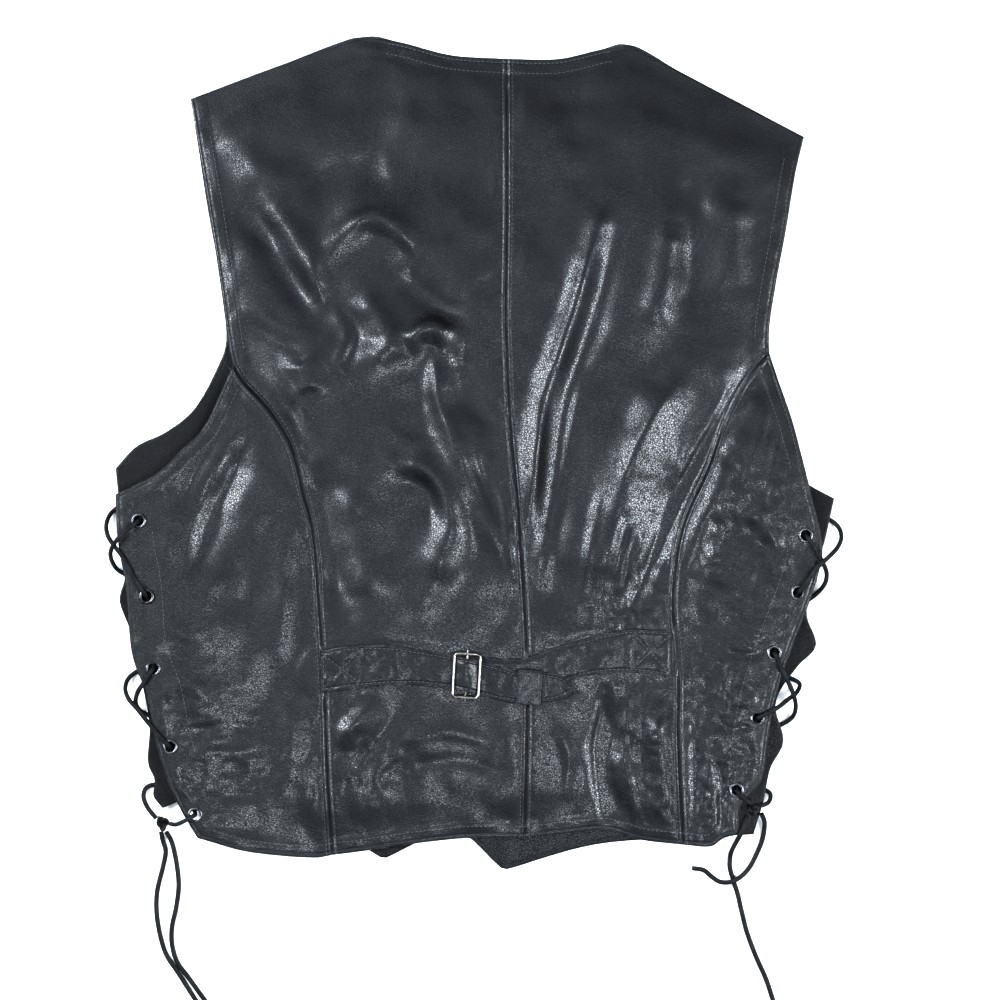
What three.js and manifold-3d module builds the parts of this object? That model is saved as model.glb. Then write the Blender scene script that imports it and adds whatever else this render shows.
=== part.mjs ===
// Leather vest with laced sides and a buckled half belt, lying face down on a surface.
// Millimetres. +X is the right side of the view, +Y points to the neck, +Z is up, away from the surface.
// Every table of points is in millimetres, with the columns x, y unless a comment says otherwise.

import * as THREE from 'three';
import { mergeVertices } from 'three/addons/utils/BufferGeometryUtils.js';
import Module from 'manifold-3d';

const wasm = await Module();
wasm.setup();

// Driving sizes
const LEATHER = 1.4;
const LINING = 0.8;
const STRAP = 1.2;
const GAP = 0.3;
const SEAM_HALF_GAP = 0.18;
const LACE = 2.6;

// Heights above the surface of the undersides of the cloth
const FRONT_STRIP = 4.6;
const BACK_STRIP = 13.5;
const BACK_FIELD = 7.6;
const BACK_LOWEST = 3.1;
const BACK_HEM = 3.5;
const SHOULDER_SEAM = LEATHER + GAP;
const FRONT_STEP = LEATHER + GAP;
const LINING_REST = LEATHER + GAP;

// Widths of the bands over which the heights change
const BACK_STRIP_WIDTH = 24;
const BACK_STRIP_END = 95;
const FRONT_STRIP_WIDTH = 56;
const FRONT_STRIP_END = 92;
const EDGE_RISE = 45;
const BELT_CALM = 19;
const BELT_CALM_END = 46;
const BACK_STRIP_TOP = -20;
const BACK_STRIP_TOP_END = 75;
const FRONT_STRIP_TOP = 0;
const FRONT_STRIP_TOP_END = 90;
const FRONT_STEP_START = 8;
const FRONT_STEP_END = 30;
const OVER_STEP_START = -70;
const OVER_STEP_FULL = -45;
const SHOULDER_FLAT = 4;

// Shares of the height and of the folds that remain beside an armhole, and of a fold at its two ends
const ARMHOLE_FIELD = 0.6;
const ARMHOLE_FOLDS = 0.35;
const FOLD_END = 0.35;
const FOLD_FADE = 0.22;

// Eyelets
const EYELET_BORE = 3.4;
const EYELET_BARREL = 4;
const EYELET_FLANGE = 5.8;
const EYELET_LIP = 0.4;
const EYELET_HOLE = EYELET_BARREL + GAP;

// Centre heights of the lace
const LACE_UNDER = GAP + LACE / 2;
const LACE_IN_LOW = FRONT_STRIP + LEATHER + GAP + EYELET_LIP + GAP + LACE / 2;
const LACE_IN_HIGH = LACE_IN_LOW + LACE + GAP;
const LACE_OVER = BACK_STRIP + LEATHER + GAP + EYELET_LIP + GAP + LACE / 2;
const LACE_CROSS = LACE_OVER + LACE + GAP;
const LACE_STACKED = LACE_UNDER + LACE + GAP;

// Outline and seams of the back
const HEM_SIDE_LEFT = [[-212, -295], [-201, -298], [-176, -305], [-122, -311], [-110, -309]];
const HEM_CENTRE_LEFT = [[-110, -309], [-86, -306], [-45, -300], [-6, -296], [38, -296]];
const HEM_CENTRE_RIGHT = [[38, -296], [73, -292], [101, -290], [127, -297], [159, -300]];
const HEM_SIDE_RIGHT = [[159, -300], [181, -301], [190, -295], [202, -292]];
const PRINCESS_LEFT = [
  [-110, -309], [-114, -239], [-116, -177], [-119, -130], [-124, -62], [-132, -30],
  [-142, 7], [-159, 34], [-179, 56], [-186, 68],
];
const PRINCESS_RIGHT = [
  [159, -300], [156, -216], [156, -171], [152, -118], [154, -86], [158, -62],
  [164, -44], [179, -11], [192, 25], [208, 55], [226, 77],
];
const CENTRE_SEAM_LOWER = [[38, -296], [40, -190], [38, -118], [33, -47], [27, 24], [25, 72]];
const CENTRE_SEAM_UPPER = [[25, 72], [24, 102], [25, 180], [25, 247], [25, 303]];
const ARMHOLE_LEFT_UPPER = [[-186, 68], [-189, 83], [-195, 126], [-203, 179], [-211, 226], [-219, 272]];
const ARMHOLE_RIGHT_UPPER = [[226, 77], [226, 95], [231, 129], [239, 172], [246, 214], [253, 243]];
const ARMHOLE_LEFT_LOWER = [[-275, -32], [-241, -14], [-226, 1], [-209, 18], [-195, 46], [-186, 68]];
const ARMHOLE_RIGHT_LOWER = [[226, 77], [234, 52], [243, 25], [250, -2], [256, -26]];
const SHOULDER_NECK_LEFT = [[-219, 272], [-150, 298], [-85, 320], [-58, 316], [-19, 306], [25, 303]];
const SHOULDER_NECK_RIGHT = [[25, 303], [65, 303], [96, 310], [118, 314], [158, 293], [253, 243]];
const LACED_EDGE_LEFT = [
  [-212, -295], [-225, -273], [-235, -251], [-244, -222], [-251, -186], [-262, -155],
  [-267, -102], [-273, -68], [-275, -32],
];
const LACED_EDGE_RIGHT = [
  [202, -292], [203, -272], [219, -251], [224, -220], [229, -192], [236, -168],
  [243, -148], [255, -117], [263, -92], [266, -73], [256, -26],
];

// Outline of the two fronts
const FRONT_LEFT_EDGE = [
  [-240, -273], [-247, -263], [-246, -251], [-251, -239], [-250, -208], [-259, -163], [-265, -136],
  [-273, -113], [-269, -96], [-270, -75], [-276, -12],
];
const FRONT_LEFT_ARMHOLE = [
  [-276, -12], [-260, 5], [-239, 15], [-221, 28], [-212, 39], [-199, 64], [-192, 83], [-195, 126],
  [-207, 195], [-218, 270],
];
const FRONT_LEFT_HEM = [[-240, -273], [-218, -265], [-200, -270], [-70, -312], [-5, -282]];
const FRONT_LEFT_CLOSING = [[-5, -282], [-5, -160], [-5, 62], [-30, 160], [-84, 315]];
const FRONT_LEFT_SHOULDER = [[-218, 270], [-150, 296], [-84, 315]];
const FRONT_RIGHT_CLOSING = [[-30, -275], [-30, -160], [-30, 62], [40, 195], [117, 311]];
const FRONT_RIGHT_HEM = [[-30, -275], [24, -321], [73, -306], [102, -300], [158, -296], [214, -293]];
const FRONT_RIGHT_EDGE = [
  [214, -293], [222, -266], [227, -242], [237, -222], [231, -192], [247, -165], [262, -148],
  [255, -125], [258, -98], [268, -70], [276, -35],
];
const FRONT_RIGHT_ARMHOLE = [
  [276, -35], [259, -26], [239, -12], [219, 18], [212, 49], [216, 95], [231, 172], [251, 239],
];
const FRONT_RIGHT_SHOULDER = [[117, 311], [158, 290], [251, 239]];

// Largest folds of the back: height above or below the field, half width, and the line that it follows
const FOLDS = [
  { fold: 'shoulder_band_left', height: -2.5, width: 15, path: [[-135, 263], [-58, 272], [15, 269]] },
  { fold: 'shoulder_band_right', height: -2.5, width: 15, path: [[35, 269], [112, 273], [189, 256]] },
  { fold: 'blade_left', height: 3, width: 13, path: [[-200, 249], [-173, 222], [-142, 203]] },
  { fold: 'upper_hollow_left', height: -3, width: 17, path: [[-135, 209], [-65, 222]] },
  { fold: 'armhole_drag', height: -4.5, width: 11, path: [[-187, 191], [-167, 173], [-146, 138], [-121, 105]] },
  { fold: 'armhole_drag_lip', height: 3.5, width: 10, path: [[-159, 191], [-135, 160], [-118, 114]] },
  { fold: 'left_arc', height: 4.5, width: 12, path: [[-118, 155], [-78, 179], [-42, 156]] },
  { fold: 'left_crumple', height: 4.5, width: 11, path: [[-89, 124], [-66, 86], [-85, 65]] },
  { fold: 'left_bump', height: 4.5, width: 13, path: [[-133, 70], [-126, 47]] },
  { fold: 'peak_ridge', height: 6, width: 11, path: [[-54, 83], [-32, 96], [-19, 89]] },
  { fold: 'peak_valley', height: -4, width: 11, path: [[-56, 138], [-32, 114], [-15, 99]] },
  { fold: 'long_ridge_left', height: 5, width: 11, path: [[-22, 84], [-27, 47], [-11, -5], [4, -40], [31, -90]] },
  { fold: 'long_valley_left', height: -3, width: 10, path: [[-13, 81], [-1, 41], [19, 16]] },
  { fold: 'swoosh', height: 5, width: 13, path: [[-62, -7], [-36, -12], [-19, -36], [-19, -67], [-38, -107]] },
  { fold: 'lower_valley_left', height: -3.5, width: 12, path: [[-127, -5], [-112, -82], [-100, -122]] },
  { fold: 'lower_ridge_left', height: 2.5, width: 14, path: [[-96, -21], [-79, -113]] },
  { fold: 'plateau', height: 3, width: 28, path: [[-35, 168], [4, 126]] },
  { fold: 'under_belt_ridge', height: 3, width: 11, path: [[-105, -225], [-73, -184]] },
  { fold: 'side_left_valley', height: -4, width: 11, path: [[-173, 10], [-200, -52], [-218, -105]] },
  { fold: 'side_left_swell', height: 3, width: 14, path: [[-198, -90], [-203, -152]] },
  { fold: 'main_ridge', height: 6, width: 11, path: [[96, 176], [74, 102], [57, 51], [48, 2], [39, -73]] },
  { fold: 'main_valley', height: -3.5, width: 11, path: [[110, 178], [89, 95], [68, 36], [59, -52], [50, -105]] },
  { fold: 'blade_right', height: 4, width: 13, path: [[152, 179], [146, 133], [135, 95]] },
  { fold: 'blade_right_valley', height: -3, width: 13, path: [[169, 226], [167, 156], [166, 95]] },
  { fold: 'armhole_swell_right', height: 2.5, width: 14, path: [[199, 195], [200, 126]] },
  { fold: 'broad_ridge', height: 6, width: 17, path: [[166, 62], [135, 22], [112, -36], [90, -113]] },
  { fold: 'deep_valley', height: -5, width: 11, path: [[228, 85], [197, 32], [154, -39], [137, -79], [121, -118]] },
  { fold: 'side_right_ridge', height: 4, width: 11, path: [[213, 36], [197, 2], [173, -64], [167, -94]] },
  { fold: 'side_right_valley', height: -3, width: 12, path: [[186, -71], [208, -144], [203, -206]] },
  { fold: 'hem_valley_right', height: -4.5, width: 10, path: [[106, -200], [96, -238], [105, -271], [116, -292]] },
  { fold: 'hem_swell_right', height: 5, width: 17, path: [[139, -200], [149, -236], [146, -292]] },
];

// Belt straps: x, the upper and lower edge, and the rise of the underside above the back
const BELT_LEFT = [
  { x: -117.8, top: -151.7, bottom: -184, rise: 0.5 },
  { x: -101.6, top: -148.6, bottom: -181.3, rise: 0.5 },
  { x: -83.2, top: -147.1, bottom: -179.4, rise: 0.5 },
  { x: -62.4, top: -147.8, bottom: -177.9, rise: 0.5 },
  { x: -42.4, top: -150.9, bottom: -177.9, rise: 0.6 },
  { x: -27, top: -153.4, bottom: -179.5, rise: 1.4 },
  { x: -15.6, top: -155.4, bottom: -181, rise: 2.2 },
  { x: -8.4, top: -156.8, bottom: -182.8, rise: 4.4 },
  { x: -4.4, top: -157.6, bottom: -183.8, rise: 4.4 },
  { x: 2.8, top: -159.3, bottom: -185.6, rise: 2.2 },
  { x: 17.7, top: -163.2, bottom: -189.4, rise: 2.5 },
  { x: 29, top: -166.6, bottom: -191.4, rise: 3.4 },
  { x: 52, top: -167.9, bottom: -191.3, rise: 3.4 },
  { x: 63.1, top: -169.4, bottom: -189.4, rise: 2.8 },
  { x: 73.2, top: -174.8, bottom: -184, rise: 2.4 },
  { x: 77, top: -178.1, bottom: -180.2, rise: 2.4 },
];
const BELT_RIGHT = [
  { x: -9.5, top: -156.3, bottom: -182.5, rise: 0.4 },
  { x: 8.5, top: -156.3, bottom: -183.3, rise: 0.5 },
  { x: 23.9, top: -157.9, bottom: -184, rise: 0.5 },
  { x: 40.8, top: -156.3, bottom: -182.5, rise: 0.5 },
  { x: 60.8, top: -149.4, bottom: -177.9, rise: 0.5 },
  { x: 81.6, top: -143.2, bottom: -171.7, rise: 0.5 },
  { x: 102.4, top: -137.8, bottom: -168.6, rise: 0.5 },
  { x: 120.9, top: -134.8, bottom: -168.6, rise: 0.5 },
  { x: 137.8, top: -135.5, bottom: -170.2, rise: 0.5 },
  { x: 151.7, top: -136.3, bottom: -173.3, rise: 0.5 },
];
const KEEPER = { x: 41.5, y: -179.6, width: 19, inner: 25, leather: 0.9, turn: -0.07 };
const STRAP_RISE = 0.5;
const KEEPER_BOTTOM = STRAP_RISE + STRAP + GAP;
const KEEPER_CLEAR = 2.1;
const BUCKLE = { x: -6.4, y: -170.6, width: 22, height: 35.5, wire: 2.1, corner: 4, turn: -0.06 };
const BUCKLE_RISE = 3.85;
const BUCKLE_BAR = { radius: 1, rise: 3.05, length: 39 };

// Eyelet centres, from the armhole to the hem
const BACK_EYELETS_LEFT = [[-257, -52], [-251, -110], [-246, -165], [-233, -225], [-214, -277]];
const BACK_EYELETS_RIGHT = [[253, -63], [247, -107], [229, -153], [216, -203], [200, -258]];
const FRONT_EYELETS_LEFT = [[-247, -40], [-240, -106], [-235, -163], [-224, -213], [-228, -256]];
const FRONT_EYELETS_RIGHT = [[249, -52], [236, -119], [219, -168], [214, -216], [196, -244]];

// The lace inside an eyelet, from above to below. It arrives from the place named first and
// leaves towards the place named second.
const BEND_OUT = 4.4;
const BEND_IN = 0.3;
const BEND_ARCH = 0.7;
const BEND_CLEAR = 0.2;

function through([x, y], strip, from, to) {
  const toward = ([px, py], reach, z) => {
    const length = Math.hypot(px - x, py - y);
    return [x + (px - x) / length * reach, y + (py - y) / length * reach, z];
  };
  const above = strip + LEATHER + GAP + EYELET_LIP;
  const below = strip - GAP - EYELET_LIP;
  return [
    toward(from, BEND_OUT, above + GAP + LACE / 2 + BEND_ARCH), toward(from, BEND_IN, above + BEND_CLEAR),
    toward(to, BEND_IN, below - BEND_CLEAR),
    toward(to, BEND_OUT, Math.max(LACE_UNDER, below - GAP - LACE / 2 - BEND_ARCH)),
  ];
}

const throughBack = (places, row, from, to) => through(places[row - 1], BACK_STRIP, from, to);
const throughFront = (places, row, from, to) => through(places[row - 1], FRONT_STRIP, from, to);

// The side laces: x, y and the height of the centre line, from the knot through every eyelet and back
const LACE_LEFT = [
  [-234.6, -284.4, 7.2], [-229, -284.6, 12.5], [-222, -281.5, LACE_OVER],
  ...throughBack(BACK_EYELETS_LEFT, 5, [-222, -281.5], [-218, -262]),
  [-217.5, -262, LACE_IN_HIGH], [-220.5, -240, 9.8],
  ...throughFront(FRONT_EYELETS_LEFT, 4, [-221.5, -226], [-240, -206.5]),
  [-238, -207.3, LACE_UNDER], [-250, -202.5, LACE_UNDER], [-257, -198.5, 3.2], [-260.2, -192, 8.5],
  [-258.2, -184, 14], [-252.5, -175, 17],
  ...throughBack(BACK_EYELETS_LEFT, 3, [-252.5, -175], [-246.2, -150]),
  [-246, -150, LACE_IN_HIGH], [-243.5, -133, LACE_IN_HIGH],
  ...throughFront(FRONT_EYELETS_LEFT, 2, [-242, -120], [-252, -100.5]),
  [-252, -100.5, LACE_UNDER], [-267, -94.5, LACE_UNDER], [-274.6, -90, 3], [-278.2, -83.5, 8.5],
  [-278.6, -76.5, 14.8], [-274.8, -69, LACE_CROSS], [-266.5, -60, LACE_CROSS],
  ...throughBack(BACK_EYELETS_LEFT, 1, [-266, -59.6], [-247, -40]),
  ...throughFront(FRONT_EYELETS_LEFT, 1, [-257, -52], [-260, -38.5]),
  [-258, -38.6, LACE_UNDER], [-271.5, -40.5, LACE_UNDER], [-279.5, -46, 3.2], [-282.6, -54.5, 8.6],
  [-281, -63, 14], [-276, -70.5, 17], [-269.5, -79, LACE_OVER], [-261, -94, LACE_OVER],
  ...throughBack(BACK_EYELETS_LEFT, 2, [-258, -98], [-246.5, -122]),
  [-246, -123, 9.6], [-240.5, -143, LACE_IN_LOW],
  ...throughFront(FRONT_EYELETS_LEFT, 3, [-238, -152], [-248, -164.4]),
  [-247, -164.5, LACE_UNDER], [-258, -167, LACE_UNDER], [-266, -173, 4], [-268, -180.5, 10],
  [-264.5, -188.5, 15.6], [-258.5, -195, 17.4], [-246, -210.5, LACE_OVER],
  ...throughBack(BACK_EYELETS_LEFT, 4, [-245, -211.5], [-230, -238]),
  [-230.4, -240, 9.4],
  ...throughFront(FRONT_EYELETS_LEFT, 5, [-229.5, -244], [-240, -255.5]),
  [-244, -255, LACE_UNDER], [-252.4, -257, 2], [-255, -263.5, 3], [-252, -272, 4], [-244.9, -280.8, 5.4],
];
const LACE_RIGHT = [
  [212.4, -268.8, 15.2], [209.4, -267, 17], [206, -264.4, LACE_OVER],
  ...throughBack(BACK_EYELETS_RIGHT, 5, [205, -264], [205, -243]),
  [205.5, -243, LACE_IN_HIGH], [209.5, -229, LACE_IN_HIGH],
  ...throughFront(FRONT_EYELETS_RIGHT, 4, [212, -222], [226, -212]),
  [226, -212, LACE_UNDER], [237, -208.5, LACE_UNDER], [244.4, -202.5, 4], [246, -194, 9.6],
  [243, -183, 14.6], [237, -170.5, 17.2],
  ...throughBack(BACK_EYELETS_RIGHT, 3, [236, -167], [233, -140]),
  [232.6, -139, 10.2],
  ...throughFront(FRONT_EYELETS_RIGHT, 2, [234, -130], [248, -116.5]),
  [246, -117, LACE_UNDER], [255.8, -113.4, LACE_UNDER], [264, -107, 3.4], [268.8, -99.5, 8.6],
  [269, -91.5, 14.4], [265, -82.5, LACE_OVER], [260, -73.5, LACE_OVER],
  ...throughBack(BACK_EYELETS_RIGHT, 1, [258.5, -71], [249, -52]),
  ...throughFront(FRONT_EYELETS_RIGHT, 1, [253, -63], [262, -48.5]),
  [260, -49, LACE_UNDER], [271, -50.5, LACE_UNDER], [278.6, -56, 3.6], [281, -64, 9.6],
  [277.6, -72, 15.6], [271, -78.8, 19.4], [262.5, -86.5, LACE_CROSS], [255, -97, 18.6],
  ...throughBack(BACK_EYELETS_RIGHT, 2, [253.5, -99], [241, -120]),
  [240.5, -121, 9.8], [231, -143, LACE_IN_LOW],
  ...throughFront(FRONT_EYELETS_RIGHT, 3, [223, -158], [230, -170.5]),
  [232, -171, LACE_UNDER], [243, -173.4, 2.2], [249.4, -177.5, 5.2], [246.6, -184, 9], [239.4, -189, 13.2],
  [231, -195, 17],
  ...throughBack(BACK_EYELETS_RIGHT, 4, [228, -197], [209, -215]),
  [209, -215.5, 9.6], [202.5, -229, LACE_IN_LOW],
  ...throughFront(FRONT_EYELETS_RIGHT, 5, [199.5, -236], [206, -250]),
  [206, -250.5, LACE_UNDER], [218.5, -257, LACE_UNDER], [227, -262, 3], [225.6, -268, 7], [219.8, -270.6, 9.4],
];

// Knots: centre and half sizes
const KNOT_LEFT = { centre: [-239.8, -284.6, 6], half: [4.6, 6.4, 3.9] };
const KNOT_RIGHT = { centre: [213.4, -273.6, 10.2], half: [4.4, 4.8, 3.6] };

// Free ends, from the knot outwards
const ENDS_LEFT = {
  a: [
    [-241, -291.5, 5], [-240.2, -298, 2], [-238, -306, LACE_UNDER], [-240, -318, LACE_UNDER],
    [-244.5, -337, LACE_UNDER], [-245, -353, LACE_UNDER], [-242.5, -370, LACE_UNDER],
    [-237.5, -386, LACE_UNDER], [-229, -399, LACE_UNDER], [-215, -421, LACE_UNDER], [-209, -430, LACE_UNDER],
  ],
  b: [
    [-237, -291.2, 6], [-234.2, -297, 2.6], [-232, -304, LACE_UNDER], [-229, -320, LACE_UNDER],
    [-228, -334, LACE_UNDER], [-230, -350, LACE_UNDER], [-233.3, -366, LACE_UNDER],
    [-233, -379, LACE_UNDER], [-229, -392, LACE_UNDER], [-221, -403, LACE_UNDER],
    [-209.5, -419, LACE_UNDER], [-203, -428, LACE_UNDER],
  ],
};
const ENDS_RIGHT = {
  a: [
    [219.6, -276.6, 8.4], [222.4, -283, 5], [222.5, -290, 2.4], [221, -298, LACE_UNDER], [216, -310, LACE_UNDER],
    [211, -319, 2.4], [204.5, -325.5, LACE_STACKED], [197, -329.5, LACE_STACKED], [189, -330, 3.2],
    [182, -326, LACE_UNDER], [176, -321, LACE_UNDER], [167, -319.5, LACE_UNDER],
  ],
  b: [
    [208.8, -279, 12.8], [206.2, -285, 16], [202.8, -292, 16.8], [198.8, -301, 10.4], [196.5, -309, 3],
    [196, -318, LACE_UNDER], [198.5, -328, LACE_UNDER], [202, -339, LACE_UNDER], [205, -352, LACE_UNDER],
    [209, -368, LACE_UNDER], [216, -387, LACE_UNDER], [224, -405, LACE_UNDER], [229, -420, LACE_UNDER],
    [233, -431, LACE_UNDER],
  ],
};

// Grid counts: columns across a panel and rows along it
const SIDE_COLUMNS = 8;
const CENTRE_COLUMNS = 16;
const SEAM_ROWS = 20;
const ARMHOLE_ROWS = 12;
const FRONT_COLUMNS = 10;
const FRONT_EDGE_ROWS = 9;
const FRONT_ARMHOLE_ROWS = 9;
const LINING_LEFT_COLUMNS = [2, 8];
const LINING_RIGHT_COLUMNS = [1, 8];
const TUBE_SIDES = 8;
const LACED_STEPS = 1;
const END_STEPS = 2;
const BACK_EYELET_SEGMENTS = 10;
const FRONT_EYELET_SEGMENTS = 8;
const HOLE_SEGMENTS = 10;
const KNOT_SEGMENTS = 10;
const KNOT_RINGS = 8;
const BUCKLE_CORNER_STEPS = 4;
const BUCKLE_BAR_SIDES = 8;
const PUNCH_DEPTH = 6 * LEATHER;

// Materials
const leather = (color, roughness) => new THREE.MeshStandardMaterial({ color, roughness, metalness: 0 });
const metal = (color, roughness) => new THREE.MeshStandardMaterial({ color, roughness, metalness: 1 });
const BACK_LEATHER = [0x1b1c1f, 0.42];
const FRONT_LEATHER = [0x17181a, 0.5];
const LINING_CLOTH = [0x0d0d0f, 0.6];
const BELT_LEATHER = [0x202126, 0.45];
const LACE_LEATHER = [0x26272b, 0.7];
const EYELET_METAL = [0x2b2c30, 0.35];
const BUCKLE_METAL = [0xb9b4a8, 0.28];

// Small numeric helpers
function smooth(from, to, value) {
  const t = Math.min(1, Math.max(0, (value - from) / (to - from)));
  return t * t * (3 - 2 * t);
}

function mix(a, b, t) {
  return a + (b - a) * t;
}

// Points spread evenly along a smooth curve through the given points
function along(points, steps) {
  const curve = new THREE.CatmullRomCurve3(
    points.map(([x, y]) => new THREE.Vector3(x, y, 0)), false, 'centripetal');
  return curve.getSpacedPoints(steps).map((p) => [p.x, p.y]);
}

// Several curves joined end to end, each with its own number of steps
function rail(parts) {
  const points = [];
  for (const [curve, steps] of parts) {
    const run = along(curve, steps);
    points.push(...(points.length ? run.slice(1) : run));
  }
  return points;
}

function shifted(points, dx) {
  return points.map(([x, y]) => [x + dx, y]);
}

// Distance from a place to a line of points, and how far along the line its nearest point lies
function distanceToLine(x, y, line) {
  let best = Infinity;
  let share = 0;
  for (let i = 0; i < line.length - 1; i += 1) {
    const [ax, ay] = line[i];
    const [bx, by] = line[i + 1];
    const dx = bx - ax;
    const dy = by - ay;
    const t = Math.min(1, Math.max(0, ((x - ax) * dx + (y - ay) * dy) / (dx * dx + dy * dy)));
    const distance = Math.hypot(x - ax - t * dx, y - ay - t * dy);
    if (distance < best) {
      best = distance;
      share = (i + t) / (line.length - 1);
    }
  }
  return { distance: best, share };
}

// Where the laced edge of a panel lies at a given height up the garment
function edgeAt(edge, y) {
  const last = edge.length - 1;
  if (y <= edge[0][1]) return edge[0][0];
  if (y >= edge[last][1]) return edge[last][0];
  const i = edge.findIndex((point) => point[1] > y);
  const [ax, ay] = edge[i - 1];
  const [bx, by] = edge[i];
  return mix(ax, bx, (y - ay) / (by - ay));
}

const HEM_LINE = [...HEM_SIDE_LEFT, ...HEM_CENTRE_LEFT, ...HEM_CENTRE_RIGHT, ...HEM_SIDE_RIGHT];
const TOP_LINE = [...SHOULDER_NECK_LEFT, ...SHOULDER_NECK_RIGHT];
const ARM_LINES = [ARMHOLE_LEFT_UPPER, ARMHOLE_RIGHT_UPPER];
const BELT_LINE = [[-118, -168], [-60, -163], [-6, -170], [44, -172], [90, -157], [152, -153]];
const FOLD_STEPS_EACH = 3;
const FOLD_CURVES = FOLDS.map((row) => {
  const line = along(row.path, FOLD_STEPS_EACH * row.path.length);
  return { ...row, line };
});

// Sum of the folds at a place: each one swells in its middle and dies away at both ends
function foldHeight(x, y) {
  let height = 0;
  for (const row of FOLD_CURVES) {
    const { distance, share } = distanceToLine(x, y, row.line);
    const swell = mix(FOLD_END, 1, smooth(0, FOLD_FADE, share) * smooth(0, FOLD_FADE, 1 - share));
    height += row.height * swell * Math.exp(-((distance / row.width) ** 2));
  }
  return height;
}

// Underside of the back
function backHeight(x, y) {
  const hem = smooth(0, EDGE_RISE, distanceToLine(x, y, HEM_LINE).distance);
  const top = smooth(SHOULDER_FLAT, EDGE_RISE, distanceToLine(x, y, TOP_LINE).distance);
  const nearestArm = Math.min(...ARM_LINES.map((line) => distanceToLine(x, y, line).distance));
  const arm = smooth(0, EDGE_RISE, nearestArm);
  const calm = smooth(BELT_CALM, BELT_CALM_END, distanceToLine(x, y, BELT_LINE).distance);
  const free = hem * top * mix(ARMHOLE_FOLDS, 1, arm);
  let field = mix(SHOULDER_SEAM, BACK_FIELD, top * mix(ARMHOLE_FIELD, 1, arm));
  field = mix(BACK_HEM, field, hem);
  const folded = field + foldHeight(x, y) * calm * free;
  const overStep = smooth(OVER_STEP_START, OVER_STEP_FULL, x)
    * (1 - smooth(FRONT_STEP_START, FRONT_STEP_END, x));
  const lowest = Math.min(field, BACK_LOWEST + FRONT_STEP * overStep);
  const inner = Math.max(folded, lowest);
  const edge = x < 0 ? x - edgeAt(LACED_EDGE_LEFT, y) : edgeAt(LACED_EDGE_RIGHT, y) - x;
  const strip = (1 - smooth(BACK_STRIP_WIDTH, BACK_STRIP_END, edge))
    * (1 - smooth(BACK_STRIP_TOP, BACK_STRIP_TOP_END, y));
  return mix(inner, BACK_STRIP, strip);
}

// Underside of the fronts: flat on the surface, raised along the laced edges to clear the lace
function frontLift(x, y) {
  const edge = x < 0 ? x - edgeAt(FRONT_LEFT_EDGE, y) : edgeAt(FRONT_RIGHT_EDGE, y) - x;
  return FRONT_STRIP * (1 - smooth(FRONT_STRIP_WIDTH, FRONT_STRIP_END, edge))
    * (1 - smooth(FRONT_STRIP_TOP, FRONT_STRIP_TOP_END, y));
}

function frontRightHeight(x, y) {
  return Math.max(frontLift(x, y), FRONT_STEP * (1 - smooth(FRONT_STEP_START, FRONT_STEP_END, x)));
}

// A grid of places filled in between four rails
function patch(left, right, bottom, top) {
  const rows = left.length - 1;
  const columns = bottom.length - 1;
  const grid = [];
  for (let j = 0; j <= rows; j += 1) {
    const v = j / rows;
    const row = [];
    for (let i = 0; i <= columns; i += 1) {
      const u = i / columns;
      row.push([0, 1].map((axis) => {
        const across = mix(left[j][axis], right[j][axis], u);
        const up = mix(bottom[i][axis], top[i][axis], v);
        const corners = mix(
          mix(bottom[0][axis], bottom[columns][axis], u), mix(top[0][axis], top[columns][axis], u), v);
        return across + up - corners;
      }));
    }
    grid.push(row);
  }
  return grid;
}

// A closed wall of cloth over a grid of places, from an underside height and a thickness
function wall(grid, heightAt, thickness) {
  const rows = grid.length;
  const columns = grid[0].length;
  const lower = grid.flat().map(([x, y]) => [x, y, heightAt(x, y)]);
  const upper = lower.map(([x, y, z]) => [x, y, z + thickness]);
  const count = lower.length;
  const at = (i, j) => j * columns + i;
  const index = [];
  const quad = (a, b, c, d) => index.push(a, b, c, a, c, d);
  for (let j = 0; j < rows - 1; j += 1) {
    for (let i = 0; i < columns - 1; i += 1) {
      const [a, b, c, d] = [at(i, j), at(i + 1, j), at(i + 1, j + 1), at(i, j + 1)];
      quad(a, d, c, b);
      quad(count + a, count + b, count + c, count + d);
    }
  }
  const side = (a, b) => quad(a, b, count + b, count + a);
  for (let i = 0; i < columns - 1; i += 1) {
    side(at(i, 0), at(i + 1, 0));
    side(at(i + 1, rows - 1), at(i, rows - 1));
  }
  for (let j = 0; j < rows - 1; j += 1) {
    side(at(columns - 1, j), at(columns - 1, j + 1));
    side(at(0, j + 1), at(0, j));
  }
  return geometryOf([...lower, ...upper], index);
}

function geometryOf(points, index) {
  const geometry = new THREE.BufferGeometry();
  geometry.setAttribute('position', new THREE.Float32BufferAttribute(points.flat(), 3));
  geometry.setIndex(index);
  geometry.computeVertexNormals();
  return geometry;
}

// Solids for cutting and joining
function solidOf(geometry) {
  const bare = geometry.clone();
  bare.deleteAttribute('normal');
  bare.deleteAttribute('uv');
  const merged = mergeVertices(bare);
  return new wasm.Manifold(new wasm.Mesh({
    numProp: 3,
    vertProperties: merged.attributes.position.array,
    triVerts: new Uint32Array(merged.index.array),
  }));
}

function geometryFrom(solid) {
  const { vertProperties, triVerts } = solid.getMesh();
  const geometry = new THREE.BufferGeometry();
  geometry.setAttribute('position', new THREE.BufferAttribute(vertProperties, 3));
  geometry.setIndex(new THREE.BufferAttribute(triVerts, 1));
  geometry.computeVertexNormals();
  return geometry;
}

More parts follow.
